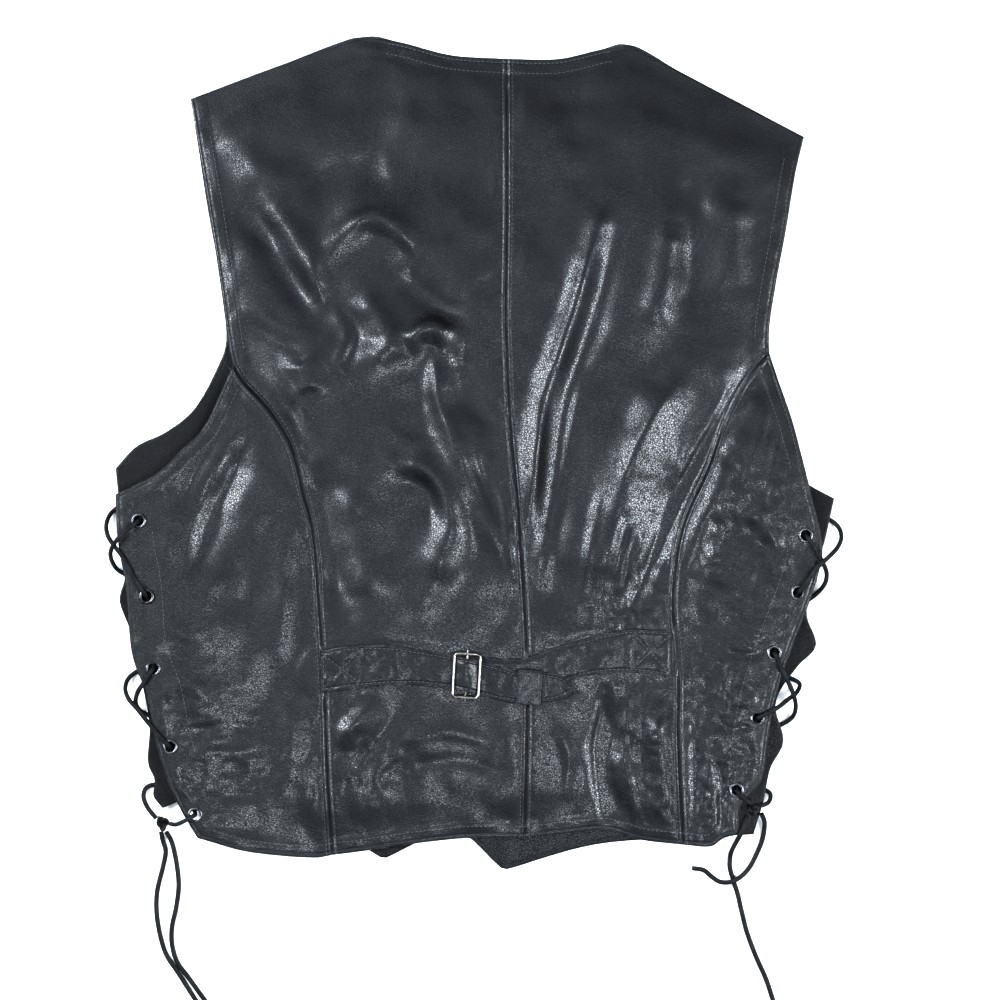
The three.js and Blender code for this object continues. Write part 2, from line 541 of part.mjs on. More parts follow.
function punched(geometry, places, height) {
  let solid = solidOf(geometry);
  for (const [x, y] of places) {
    const drill = new THREE.CylinderGeometry(EYELET_HOLE, EYELET_HOLE, PUNCH_DEPTH, HOLE_SEGMENTS);
    drill.rotateX(Math.PI / 2);
    drill.translate(x, y, height);
    solid = solid.subtract(solidOf(drill));
  }
  return geometryFrom(solid);
}

// Pieces
const vest = new THREE.Group();

function add(name, geometry, material) {
  const mesh = new THREE.Mesh(geometry, material);
  mesh.name = name;
  vest.add(mesh);
  return mesh;
}

function addBack() {
  const seamRows = (curve) => along(curve, SEAM_ROWS);
  const princessLeft = seamRows(PRINCESS_LEFT);
  const princessRight = seamRows(PRINCESS_RIGHT);
  const centreSeam = rail([[CENTRE_SEAM_LOWER, SEAM_ROWS], [CENTRE_SEAM_UPPER, ARMHOLE_ROWS]]);
  const leftArm = along(ARMHOLE_LEFT_UPPER, ARMHOLE_ROWS).slice(1);
  const rightArm = along(ARMHOLE_RIGHT_UPPER, ARMHOLE_ROWS).slice(1);
  const across = (curve) => along(curve, CENTRE_COLUMNS);

  const centreLeft = patch(
    shifted([...princessLeft, ...leftArm], SEAM_HALF_GAP), shifted(centreSeam, -SEAM_HALF_GAP),
    across(HEM_CENTRE_LEFT), across(SHOULDER_NECK_LEFT));
  const centreRight = patch(
    shifted(centreSeam, SEAM_HALF_GAP), shifted([...princessRight, ...rightArm], -SEAM_HALF_GAP),
    across(HEM_CENTRE_RIGHT), across(SHOULDER_NECK_RIGHT));
  const sideLeft = patch(
    along(LACED_EDGE_LEFT, SEAM_ROWS), shifted(princessLeft, -SEAM_HALF_GAP),
    along(HEM_SIDE_LEFT, SIDE_COLUMNS), along(ARMHOLE_LEFT_LOWER, SIDE_COLUMNS));
  const sideRight = patch(
    shifted(princessRight, SEAM_HALF_GAP), along(LACED_EDGE_RIGHT, SEAM_ROWS),
    along(HEM_SIDE_RIGHT, SIDE_COLUMNS), along(ARMHOLE_RIGHT_LOWER, SIDE_COLUMNS));

  const build = (grid) => wall(grid, backHeight, LEATHER);
  add('back_centre_left', build(centreLeft), leather(...BACK_LEATHER));
  add('back_centre_right', build(centreRight), leather(...BACK_LEATHER));
  add('back_side_left', punched(build(sideLeft), BACK_EYELETS_LEFT, BACK_STRIP), leather(...BACK_LEATHER));
  add('back_side_right', punched(build(sideRight), BACK_EYELETS_RIGHT, BACK_STRIP), leather(...BACK_LEATHER));
}

// The part of a grid that the lining covers
function liningOf(grid, [firstColumn, lastColumn]) {
  return grid.slice(1, -1).map((row) => row.slice(firstColumn, lastColumn + 1));
}

function addFronts() {
  const left = patch(
    rail([[FRONT_LEFT_EDGE, FRONT_EDGE_ROWS], [FRONT_LEFT_ARMHOLE, FRONT_ARMHOLE_ROWS]]),
    along(FRONT_LEFT_CLOSING, FRONT_EDGE_ROWS + FRONT_ARMHOLE_ROWS),
    along(FRONT_LEFT_HEM, FRONT_COLUMNS), along(FRONT_LEFT_SHOULDER, FRONT_COLUMNS));
  const right = patch(
    along(FRONT_RIGHT_CLOSING, FRONT_EDGE_ROWS + FRONT_ARMHOLE_ROWS),
    rail([[FRONT_RIGHT_EDGE, FRONT_EDGE_ROWS], [FRONT_RIGHT_ARMHOLE, FRONT_ARMHOLE_ROWS]]),
    along(FRONT_RIGHT_HEM, FRONT_COLUMNS), along(FRONT_RIGHT_SHOULDER, FRONT_COLUMNS));
  const leftWall = wall(left, frontLift, LEATHER);
  const rightWall = wall(right, frontRightHeight, LEATHER);
  add('front_left', punched(leftWall, FRONT_EYELETS_LEFT, FRONT_STRIP), leather(...FRONT_LEATHER));
  add('front_right', punched(rightWall, FRONT_EYELETS_RIGHT, FRONT_STRIP), leather(...FRONT_LEATHER));
  const onto = (heightAt) => (x, y) => heightAt(x, y) + LINING_REST;
  const leftLining = liningOf(left, LINING_LEFT_COLUMNS);
  const rightLining = liningOf(right, LINING_RIGHT_COLUMNS);
  add('lining_left', wall(leftLining, onto(frontLift), LINING), leather(...LINING_CLOTH));
  add('lining_right', wall(rightLining, onto(frontRightHeight), LINING), leather(...LINING_CLOTH));
}

// A spool-shaped eyelet around the cloth between the heights z0 and z1
function eyelet(z0, z1, segments) {
  const profile = [
    [EYELET_BORE, z0 - GAP - EYELET_LIP], [EYELET_FLANGE, z0 - GAP - EYELET_LIP], [EYELET_FLANGE, z0 - GAP],
    [EYELET_BARREL, z0 - GAP], [EYELET_BARREL, z1 + GAP], [EYELET_FLANGE, z1 + GAP],
    [EYELET_FLANGE - EYELET_LIP, z1 + GAP + EYELET_LIP], [EYELET_BORE, z1 + GAP + EYELET_LIP],
    [EYELET_BORE, z0 - GAP - EYELET_LIP],
  ];
  const ring = new THREE.LatheGeometry(profile.map(([r, z]) => new THREE.Vector2(r, z)), segments);
  ring.rotateX(Math.PI / 2);
  return ring;
}

function addEyelets() {
  const sets = [
    ['eyelet_back_left', BACK_EYELETS_LEFT, BACK_STRIP, BACK_EYELET_SEGMENTS],
    ['eyelet_back_right', BACK_EYELETS_RIGHT, BACK_STRIP, BACK_EYELET_SEGMENTS],
    ['eyelet_front_left', FRONT_EYELETS_LEFT, FRONT_STRIP, FRONT_EYELET_SEGMENTS],
    ['eyelet_front_right', FRONT_EYELETS_RIGHT, FRONT_STRIP, FRONT_EYELET_SEGMENTS],
  ];
  for (const [name, places, strip, segments] of sets) {
    places.forEach(([x, y], i) => {
      const mesh = add(`${name}_${i + 1}`, eyelet(strip, strip + LEATHER, segments), metal(...EYELET_METAL));
      mesh.position.set(x, y, 0);
    });
  }
}

// A strap that lies on the calm band of the back
const BELT_FLOOR = BACK_FIELD + LEATHER;

function strap(rows) {
  const points = [];
  const index = [];
  const quad = (a, b, c, d) => index.push(a, b, c, a, c, d);
  for (const { x, top, bottom, rise } of rows) {
    const z = BELT_FLOOR + rise;
    points.push([x, bottom, z], [x, top, z], [x, top, z + STRAP], [x, bottom, z + STRAP]);
  }
  for (let i = 0; i < rows.length - 1; i += 1) {
    const [a, b] = [4 * i, 4 * i + 4];
    for (let k = 0; k < 4; k += 1) {
      const next = (k + 1) % 4;
      quad(a + k, a + next, b + next, b + k);
    }
  }
  const last = 4 * (rows.length - 1);
  quad(3, 2, 1, 0);
  quad(last, last + 1, last + 2, last + 3);
  return geometryOf(points, index);
}

function rectangle(width, height) {
  return new THREE.Shape([
    new THREE.Vector2(-width / 2, -height / 2), new THREE.Vector2(width / 2, -height / 2),
    new THREE.Vector2(width / 2, height / 2), new THREE.Vector2(-width / 2, height / 2),
  ]);
}

function keeperLoop() {
  const clear = rectangle(KEEPER.inner, KEEPER_CLEAR);
  const outer = rectangle(KEEPER.inner + 2 * KEEPER.leather, KEEPER_CLEAR + 2 * KEEPER.leather);
  outer.holes.push(clear);
  const loop = new THREE.ExtrudeGeometry(outer, { depth: KEEPER.width, bevelEnabled: false, steps: 1 });
  loop.translate(0, 0, -KEEPER.width / 2);
  loop.rotateX(Math.PI / 2);
  loop.rotateZ(Math.PI / 2);
  return loop;
}

// A rounded rectangle as a path, used for the buckle's outer and inner edge
function roundedRectangle(path, width, height, radius) {
  const [x, y] = [width / 2, height / 2];
  path.moveTo(-x + radius, -y);
  path.lineTo(x - radius, -y);
  path.absarc(x - radius, -y + radius, radius, -Math.PI / 2, 0);
  path.lineTo(x, y - radius);
  path.absarc(x - radius, y - radius, radius, 0, Math.PI / 2);
  path.lineTo(-x + radius, y);
  path.absarc(-x + radius, y - radius, radius, Math.PI / 2, Math.PI);
  path.lineTo(-x, -y + radius);
  path.absarc(-x + radius, -y + radius, radius, Math.PI, 1.5 * Math.PI);
  return path;
}

function buckleFrame() {
  const { width, height, wire, corner } = BUCKLE;
  const outline = roundedRectangle(new THREE.Shape(), width, height, corner);
  outline.holes.push(
    roundedRectangle(new THREE.Path(), width - 2 * wire, height - 2 * wire, corner - wire));
  const settings = { depth: wire, bevelEnabled: false, curveSegments: BUCKLE_CORNER_STEPS };
  const frame = new THREE.ExtrudeGeometry(outline, settings);
  frame.translate(0, 0, BUCKLE_RISE);
  const { radius, length, rise } = BUCKLE_BAR;
  const bar = new THREE.CylinderGeometry(radius, radius, length, BUCKLE_BAR_SIDES);
  bar.translate(0, 0, rise);
  return geometryFrom(solidOf(frame).add(solidOf(bar)));
}

function addBelt() {
  add('belt_left', strap(BELT_LEFT), leather(...BELT_LEATHER));
  add('belt_right', strap(BELT_RIGHT), leather(...BELT_LEATHER));
  const keeper = add('belt_keeper', keeperLoop(), leather(...BELT_LEATHER));
  keeper.position.set(KEEPER.x, KEEPER.y, BELT_FLOOR + KEEPER_BOTTOM + KEEPER.leather + KEEPER_CLEAR / 2);
  keeper.rotation.z = KEEPER.turn;
  const buckle = add('buckle', buckleFrame(), metal(...BUCKLE_METAL));
  buckle.position.set(BUCKLE.x, BUCKLE.y, BELT_FLOOR);
  buckle.rotation.z = BUCKLE.turn;
}

// A lace as a tube along a smooth route, with the same number of steps between every two points
function tube(route, stepsBetween) {
  const path = new THREE.CatmullRomCurve3(
    route.map(([x, y, z]) => new THREE.Vector3(x, y, z)), false, 'centripetal');
  path.getPointAt = path.getPoint;
  path.getTangentAt = path.getTangent;
  const steps = stepsBetween * (route.length - 1);
  const section = new THREE.Shape();
  for (let k = 0; k < TUBE_SIDES; k += 1) {
    const angle = (2 * Math.PI * k) / TUBE_SIDES;
    const [x, y] = [Math.cos(angle) * LACE / 2, Math.sin(angle) * LACE / 2];
    if (k === 0) section.moveTo(x, y);
    else section.lineTo(x, y);
  }
  return new THREE.ExtrudeGeometry(section, { steps, extrudePath: path, bevelEnabled: false });
}

function knot({ centre, half }) {
  const ball = new THREE.SphereGeometry(1, KNOT_SEGMENTS, KNOT_RINGS);
  ball.scale(...half);
  ball.translate(...centre);
  return ball;
}

function addLaces() {
  const sides = [['left', LACE_LEFT, ENDS_LEFT, KNOT_LEFT], ['right', LACE_RIGHT, ENDS_RIGHT, KNOT_RIGHT]];
  for (const [side, route, ends, tied] of sides) {
    add(`lace_${side}`, tube(route, LACED_STEPS), leather(...LACE_LEATHER));
    add(`lace_${side}_end_a`, tube(ends.a, END_STEPS), leather(...LACE_LEATHER));
    add(`lace_${side}_end_b`, tube(ends.b, END_STEPS), leather(...LACE_LEATHER));
    add(`lace_${side}_knot`, knot(tied), leather(...LACE_LEATHER));
  }
}

addBack();
addFronts();
addEyelets();
addBelt();
addLaces();

export default vest;
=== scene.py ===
import math

import bpy
import numpy as np
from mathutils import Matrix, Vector


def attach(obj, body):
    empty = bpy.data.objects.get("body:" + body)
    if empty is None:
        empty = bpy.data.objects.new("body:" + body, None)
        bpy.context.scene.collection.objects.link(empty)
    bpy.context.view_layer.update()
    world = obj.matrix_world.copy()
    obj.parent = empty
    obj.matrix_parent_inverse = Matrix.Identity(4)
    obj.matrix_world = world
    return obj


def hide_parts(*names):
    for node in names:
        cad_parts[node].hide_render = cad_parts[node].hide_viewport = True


bl_info = {
    "name": "Laced Leather Vest",
    "version": (1, 0, 0),
    "blender": (4, 5, 0),
    "location": "3D View > Sidebar > Vest",
    "description": "Dresses a leather vest that lies face down, with its half belt, eyelets and side laces",
    "category": "Add Mesh",
}

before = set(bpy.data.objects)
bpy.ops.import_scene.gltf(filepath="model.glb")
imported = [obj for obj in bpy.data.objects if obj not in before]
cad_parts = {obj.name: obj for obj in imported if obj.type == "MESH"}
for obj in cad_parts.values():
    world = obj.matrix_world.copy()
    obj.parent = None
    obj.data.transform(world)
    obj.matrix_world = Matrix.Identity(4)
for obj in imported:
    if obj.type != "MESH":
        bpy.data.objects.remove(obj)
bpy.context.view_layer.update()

# Tables are in millimetres, as a maker's pattern is, and meshes are in metres
MM = 0.001

# Cloth, and the heights of its underside above the surface, as in the part's own sizes
LEATHER = 1.4
LINING = 0.8
STRAP = 1.2
GAP = 0.3
LACE = 2.6
FRONT_STRIP = 4.6
BACK_STRIP = 13.5
BACK_FIELD = 7.6
BACK_LOWEST = 3.1
BACK_HEM = 3.5
SHOULDER_SEAM = LEATHER + GAP
FRONT_STEP = LEATHER + GAP
LINING_REST = LEATHER + GAP
FRONT_WALL = LEATHER - 0.2
LINING_WALL = LINING * 0.6
BACK_STRIP_WIDTH = 24
BACK_STRIP_END = 95
FRONT_STRIP_WIDTH = 56
FRONT_STRIP_END = 92
FRONT_STEP_START = 8
FRONT_STEP_END = 30
EDGE_RISE = 45
BELT_CALM = 19
BELT_CALM_END = 46

# Shares of a front that its lining covers: from its ends, and across it
LINING_ENDS = 1 / 18
LINING_COVERS = {"front_left": (0.2, 0.8), "front_right": (0.1, 0.8)}

# Centre heights of the lace
EYELET_LIP = 0.4
LACE_UNDER = GAP + LACE / 2
LACE_IN_LOW = FRONT_STRIP + LEATHER + GAP + EYELET_LIP + GAP + LACE / 2
LACE_IN_HIGH = LACE_IN_LOW + LACE + GAP
LACE_OVER = BACK_STRIP + LEATHER + GAP + EYELET_LIP + GAP + LACE / 2
LACE_CROSS = LACE_OVER + LACE + GAP
LACE_STACKED = LACE_UNDER + LACE + GAP

# Outline and seams of the back: x, y
HEM_SIDE_LEFT = [(-212, -295), (-201, -298), (-176, -305), (-122, -311), (-110, -309)]
HEM_CENTRE_LEFT = [(-110, -309), (-86, -306), (-45, -300), (-6, -296), (38, -296)]
HEM_CENTRE_RIGHT = [(38, -296), (73, -292), (101, -290), (127, -297), (159, -300)]
HEM_SIDE_RIGHT = [(159, -300), (181, -301), (190, -295), (202, -292)]
PRINCESS_LEFT = [
    (-110, -309), (-114, -239), (-116, -177), (-119, -130), (-124, -62), (-132, -30),
    (-142, 7), (-159, 34), (-179, 56), (-186, 68),
]
PRINCESS_RIGHT = [
    (159, -300), (156, -216), (156, -171), (152, -118), (154, -86), (158, -62),
    (164, -44), (179, -11), (192, 25), (208, 55), (226, 77),
]
CENTRE_SEAM_LOWER = [(38, -296), (40, -190), (38, -118), (33, -47), (27, 24), (25, 72)]
CENTRE_SEAM_UPPER = [(25, 72), (24, 102), (25, 180), (25, 247), (25, 303)]
ARMHOLE_LEFT_UPPER = [(-186, 68), (-189, 83), (-195, 126), (-203, 179), (-211, 226), (-219, 272)]
ARMHOLE_RIGHT_UPPER = [(226, 77), (226, 95), (231, 129), (239, 172), (246, 214), (253, 243)]
ARMHOLE_LEFT_LOWER = [(-275, -32), (-241, -14), (-226, 1), (-209, 18), (-195, 46), (-186, 68)]
ARMHOLE_RIGHT_LOWER = [(226, 77), (234, 52), (243, 25), (250, -2), (256, -26)]
SHOULDER_NECK_LEFT = [(-219, 272), (-150, 298), (-85, 320), (-58, 316), (-19, 306), (25, 303)]
SHOULDER_NECK_RIGHT = [(25, 303), (65, 303), (96, 310), (118, 314), (158, 293), (253, 243)]
NECK_LINE = [(-85, 320), (-58, 316), (-19, 306), (25, 303), (65, 303), (96, 310), (118, 314)]
LACED_EDGE_LEFT = [
    (-212, -295), (-225, -273), (-235, -251), (-244, -222), (-251, -186), (-262, -155),
    (-267, -102), (-273, -68), (-275, -32),
]
LACED_EDGE_RIGHT = [
    (202, -292), (203, -272), (219, -251), (224, -220), (229, -192), (236, -168),
    (243, -148), (255, -117), (263, -92), (266, -73), (256, -26),
]

# Outline of the two fronts: x, y
FRONT_LEFT_EDGE = [
    (-240, -273), (-247, -263), (-246, -251), (-251, -239), (-250, -208), (-259, -163), (-265, -136),
    (-273, -113), (-269, -96), (-270, -75), (-276, -12),
]
FRONT_LEFT_ARMHOLE = [
    (-276, -12), (-260, 5), (-239, 15), (-221, 28), (-212, 39), (-199, 64), (-192, 83), (-195, 126),
    (-207, 195), (-218, 270),
]
FRONT_LEFT_HEM = [
    (-240, -273), (-218, -265), (-200, -270), (-100, -297), (-84, -304), (-74, -310.5), (-70, -312),
    (-65, -310), (-44, -299.5), (-5, -282),
]
FRONT_LEFT_CLOSING = [(-5, -282), (-5, -160), (-5, 62), (-30, 160), (-84, 315)]
FRONT_LEFT_SHOULDER = [(-218, 270), (-150, 294), (-84, 315)]
FRONT_RIGHT_CLOSING = [(-30, -275), (-30, -160), (-30, 62), (40, 195), (117, 311)]
FRONT_RIGHT_HEM = [
    (-30, -275), (-4, -295.7), (17, -316.5), (22.3, -320.5), (28, -319.5), (52, -312), (78, -304.5),
    (102, -300), (158, -296), (214, -293),
]
FRONT_RIGHT_EDGE = [
    (214, -293), (222, -266), (227, -242), (237, -222), (231, -192), (247, -165), (262, -148),
    (255, -125), (258, -98), (268, -70), (276, -35),
]
FRONT_RIGHT_ARMHOLE = [
    (276, -35), (259, -26), (239, -12), (219, 18), (212, 49), (216, 95), (231, 172), (251, 239),
]
FRONT_RIGHT_SHOULDER = [(117, 311), (158, 290), (251, 239)]
BELT_LINE = [(-118, -168), (-60, -163), (-6, -170), (44, -172), (90, -157), (152, -153)]

# Folds of the back: height above or below the field, half width, and the line that each follows
FOLDS = [
    (-2.5, 15, [(-135, 263), (-58, 272), (15, 269)]),
    (-2.5, 15, [(35, 269), (112, 273), (189, 256)]),
    (3, 13, [(-200, 249), (-173, 222), (-142, 203)]),
    (-3, 17, [(-135, 209), (-65, 222)]),
    (-4.5, 11, [(-187, 191), (-167, 173), (-146, 138), (-121, 105)]),
    (3.5, 10, [(-159, 191), (-135, 160), (-118, 114)]),
    (4.5, 12, [(-118, 155), (-78, 179), (-42, 156)]),
    (4.5, 11, [(-89, 124), (-66, 86), (-85, 65)]),
    (4.5, 13, [(-133, 70), (-126, 47)]),
    (6, 11, [(-54, 83), (-32, 96), (-19, 89)]),
    (-4, 11, [(-56, 138), (-32, 114), (-15, 99)]),
    (5, 11, [(-22, 84), (-27, 47), (-11, -5), (4, -40), (31, -90)]),
    (-3, 10, [(-13, 81), (-1, 41), (19, 16)]),
    (5, 13, [(-62, -7), (-36, -12), (-19, -36), (-19, -67), (-38, -107)]),
    (-3.5, 12, [(-127, -5), (-112, -82), (-100, -122)]),
    (2.5, 14, [(-96, -21), (-79, -113)]),
    (3, 28, [(-35, 168), (4, 126)]),
    (3, 11, [(-105, -225), (-73, -184)]),
    (-4, 11, [(-173, 10), (-200, -52), (-218, -105)]),
    (3, 14, [(-198, -90), (-203, -152)]),
    (6, 11, [(96, 176), (74, 102), (57, 51), (48, 2), (39, -73)]),
    (-3.5, 11, [(110, 178), (89, 95), (68, 36), (59, -52), (50, -105)]),
    (4, 13, [(152, 179), (146, 133), (135, 95)]),
    (-3, 13, [(169, 226), (167, 156), (166, 95)]),
    (2.5, 14, [(199, 195), (200, 126)]),
    (6, 17, [(166, 62), (135, 22), (112, -36), (90, -113)]),
    (-5, 11, [(228, 85), (197, 32), (154, -39), (137, -79), (121, -118)]),
    (4, 11, [(213, 36), (197, 2), (173, -64), (167, -94)]),
    (-3, 12, [(186, -71), (208, -144), (203, -206)]),
    (-4.5, 10, [(106, -200), (96, -238), (105, -271), (116, -292)]),
    (5, 17, [(139, -200), (149, -236), (146, -292)]),
]

# Smaller creases of the back, with the same columns
CREASES = [
    (-3.5, 4.5, [(100, -182), (96, -238), (99, -268), (104, -294)]),
    (-2.5, 5, [(228, 85), (197, 32), (154, -39), (137, -79), (121, -118)]),
    (1.6, 5, [(-109, 111), (-98, 91), (-105, 67), (-98, 56)]),
    (-1.4, 4, [(-101, 112), (-90, 92), (-96, 68)]),
    (1.5, 4.5, [(-126, 148), (-118, 114)]),
    (1.8, 5, [(-98, 173), (-78, 183), (-62, 176)]),
    (-1.3, 4, [(-84, 170), (-60, 160), (-45, 141)]),
    (1.8, 5, [(-46, 92), (-32, 99), (-20, 92)]),
    (-1.6, 4, [(-40, 84), (-30, 82), (-26, 60)]),
    (1.5, 5, [(-26, 84), (-30, 47), (-20, 20), (-12, -5)]),
    (1.4, 4, [(4, 10), (23, -40), (30, -90)]),
    (1.2, 3.6, [(14, -5), (26, -50), (32, -95)]),
    (-1.1, 3.6, [(-2, 0), (14, -44), (27, -92)]),
    (1.8, 6, [(-62, -8), (-40, -13), (-24, -30), (-19, -56)]),
    (-1.3, 5, [(-55, -20), (-38, -28), (-32, -52)]),
    (1.2, 5, [(-70, 20), (-50, 8), (-30, 12)]),
    (-1.5, 5, [(-150, 40), (-138, 20), (-128, -10)]),
    (1.2, 4, [(-158, 62), (-140, 44), (-128, 22)]),
    (1, 4, [(-166, 110), (-150, 96), (-130, 92)]),
    (-1, 4, [(-172, 98), (-150, 84), (-134, 80)]),
    (1.6, 4.5, [(94, 176), (80, 124), (66, 80), (56, 46)]),
    (1.5, 4, [(50, 30), (47, -10), (42, -50)]),
    (-1.4, 4, [(62, 60), (55, 10), (52, -40)]),
    (1.2, 4, [(82, 60), (70, 0), (60, -60), (52, -110)]),
    (1.5, 5, [(150, 50), (126, 10), (112, -30)]),
    (-1.8, 4.5, [(214, 68), (192, 30), (166, -20), (148, -50)]),
    (1.5, 4, [(206, 66), (186, 34), (160, -14), (142, -56), (126, -100)]),
    (-1.6, 4, [(116, -50), (108, -84), (103, -114)]),
    (1.2, 4, [(122, -60), (114, -92), (110, -116)]),
    (1.1, 4, [(96, -30), (88, -70), (82, -110)]),
    (1.3, 5, [(205, -50), (220, -47), (236, -39)]),
    (1.2, 4, [(221, -56), (232, -72), (242, -90)]),
    (-1, 4, [(210, -58), (222, -76), (230, -98)]),
    (1.2, 5, [(226, 40), (214, 0), (206, -30)]),
    (-1.2, 4, [(236, 20), (226, -14), (218, -40)]),
    (1.2, 4, [(196, -120), (208, -132), (222, -134)]),
    (-1.1, 3.6, [(190, -150), (206, -156), (222, -150)]),
    (1.1, 3.6, [(186, -186), (200, -192), (214, -188)]),
    (-1.1, 3.4, [(184, -206), (198, -212), (206, -208)]),
    (1, 3.4, [(176, -228), (192, -236), (204, -234)]),
    (1.4, 5, [(-105, -225), (-92, -206), (-74, -186)]),
    (-1.2, 5, [(-88, -240), (-72, -214), (-58, -196)]),
    (1.2, 5, [(-60, -222), (-20, -214), (14, -224)]),
    (-1, 5, [(-50, -240), (-10, -236), (20, -246)]),
    (1, 4, [(60, -206), (72, -232), (70, -262)]),
    (-1.3, 4, [(108, -196), (102, -226), (106, -260), (114, -288)]),
    (1.5, 4, [(118, -190), (114, -226), (120, -262), (126, -294)]),
    (-1.2, 3.6, [(130, -196), (128, -232), (134, -270)]),
    (1.1, 3.6, [(142, -192), (140, -230), (144, -268), (142, -296)]),
    (-1, 3.4, [(150, -200), (150, -240), (152, -280)]),
    (-1.4, 4, [(166, -196), (168, -250), (166, -298)]),
    (1.6, 4, [(178, -240), (182, -268), (182, -298)]),
    (-2, 3.2, [(187, -236), (189, -262), (189, -292)]),
    (-1.6, 5, [(-175, 8), (-196, -38), (-214, -90)]),
    (-1.3, 4, [(-196, 14), (-212, -12), (-224, -36)]),
    (1.2, 5, [(-186, 10), (-206, -30), (-222, -70)]),
    (1.1, 5, [(-240, -20), (-232, -50), (-236, -84)]),
    (1.2, 5, [(-236, -130), (-220, -140), (-206, -132)]),
    (-1, 5, [(-240, -150), (-222, -160), (-204, -154)]),
    (1.2, 5, [(-238, -186), (-222, -176), (-206, -184)]),
    (-1.3, 5, [(-224, -215), (-194, -210), (-164, -212)]),
    (1, 5, [(-216, -232), (-190, -228), (-168, -238)]),
    (-1.1, 5, [(-206, -250), (-188, -262), (-160, -262)]),
    (1, 5, [(-150, -180), (-140, -220), (-146, -262)]),
    (1, 6, [(-150, -60), (-146, -110), (-152, -150)]),
]

# Belt straps: x, upper edge, lower edge, and the rise of the underside above the back
BELT_LEFT = [
    (-117.8, -151.7, -184, 0.5), (-101.6, -148.6, -181.3, 0.5), (-83.2, -147.1, -179.4, 0.5),
    (-62.4, -147.8, -177.9, 0.5), (-42.4, -150.9, -177.9, 0.6), (-27, -153.4, -179.5, 1.4),
    (-15.6, -155.4, -181, 2.2), (-8.4, -156.8, -182.8, 4.4), (-4.4, -157.6, -183.8, 4.4),
    (2.8, -159.3, -185.6, 2.2), (17.7, -163.2, -189.4, 2.5), (29, -166.6, -191.4, 3.4),
    (52, -167.9, -191.3, 3.4), (63.1, -169.4, -189.4, 2.8), (73.2, -174.8, -184, 2.4),
    (77, -178.1, -180.2, 2.4),
]
BELT_RIGHT = [
    (-9.5, -156.3, -182.5, 0.4), (8.5, -156.3, -183.3, 0.5), (23.9, -157.9, -184, 0.5),
    (40.8, -156.3, -182.5, 0.5), (60.8, -149.4, -177.9, 0.5), (81.6, -143.2, -171.7, 0.5),
    (102.4, -137.8, -168.6, 0.5), (120.9, -134.8, -168.6, 0.5), (137.8, -135.5, -170.2, 0.5),
    (151.7, -136.3, -173.3, 0.5),
]
BELT_FLOOR = BACK_FIELD + LEATHER

# The sewn boxes at the straps' seam ends, the rows of stitches, and where a strap may stand off the back
BELT_BOXES = {"belt_left": (-116, -88), "belt_right": (121, 149.5)}
BELT_ROWS = {"belt_left": (-118, 70), "belt_right": (79, 151)}
BELT_FREE = {"belt_left": (-118, -100, -36, -20), "belt_right": (78, 92, 118, 134)}
BELT_SWAY = {"belt_left": 1.0, "belt_right": 0.5}
BELT_SEEDS = {"belt_left": 31, "belt_right": 33}
BELT_STITCH = 2.6
BOX_INSET = 3.4

# Straps: spacing of their meshes, relief of edges, rows and boxes, shade painted into the box rows, and how
# far they stand off the back
STRAP_STEP = 1.3
STRAP_STEP_ACROSS = 1.1
STRAP_WIDTH = 29
STRAP_WANDER = 0.5
WANDER_SIZE = 14
STRAP_ROLL = 0.45
STRAP_ROLL_REACH = 1.5
STRAP_GROOVE = 0.4
BELT_ROW_HALF = 0.8
BOX_GROOVE = 0.45
BOX_GROOVE_HALF = 1.0
BOX_SHADE = 0.9
STRAP_LIFT = 1.1
SWAY_SIZE = 22

# Fine ribs across the straps: size, stretch, step of the seed, height
STRAP_RIBS = [(6, 1, 0, 0.3), (9, 0.4, 1, 0.35), (4.2, 0.3, 4, 0.25)]

# The keeper and the buckle, as built in place and turned about the vertical
KEEPER = {"x": 41.5, "y": -179.6, "width": 19, "inner": 25, "leather": 0.9, "turn": -0.07}
KEEPER_BOTTOM = 0.5 + STRAP + GAP
KEEPER_CLEAR = 2.1
KEEPER_CUTS = 7
KEEPER_BEVEL = 0.35
KEEPER_RIPPLE = 0.0002
# Rub marks all over the keeper: wear, and a painted highlight
KEEPER_WEAR_AND_HIGHLIGHT = 0.3
BUCKLE = {"x": -6.4, "y": -170.6, "width": 22, "height": 35.5, "wire": 2.1, "corner": 4, "turn": -0.06}
BUCKLE_RISE = 3.85
WIRE_SIDES = 14
CORNER_STEPS = 6
MERGE = 0.00002
BAR_BEVEL = 0.3
BUCKLE_BAR = {"radius": 1, "rise": 3.05, "length": 39}

# Eyelet centres, from the armhole to the hem: x, y; then the punched hole and the parts of an eyelet
BACK_EYELETS_LEFT = [(-257, -52), (-251, -110), (-246, -165), (-233, -225), (-214, -277)]
BACK_EYELETS_RIGHT = [(253, -63), (247, -107), (229, -153), (216, -203), (200, -258)]
FRONT_EYELETS_LEFT = [(-247, -40), (-240, -106), (-235, -163), (-224, -213), (-228, -256)]
FRONT_EYELETS_RIGHT = [(249, -52), (236, -119), (219, -168), (214, -216), (196, -244)]
HOLE_RADIUS = 4.3
HOLE_DEPTH = 8
EYELET_RIM = {"reach": 4.75, "round": 1.05, "squash": 0.5, "segments": 12}
EYELET_FLANGE = {"reach": 4.7, "round": 0.95, "squash": 0.3, "segments": 8}
EYELET_BARREL = {"radius": 3.7, "wall": 0.25}
EYELET_HALF = LEATHER / 2 + 0.45
RIM_SINK = 0.1

# The lace inside an eyelet bends over its rim at this reach
BEND_OUT = 4.4
BEND_IN = 0.3
BEND_ARCH = 0.7
BEND_RIM = 0.2


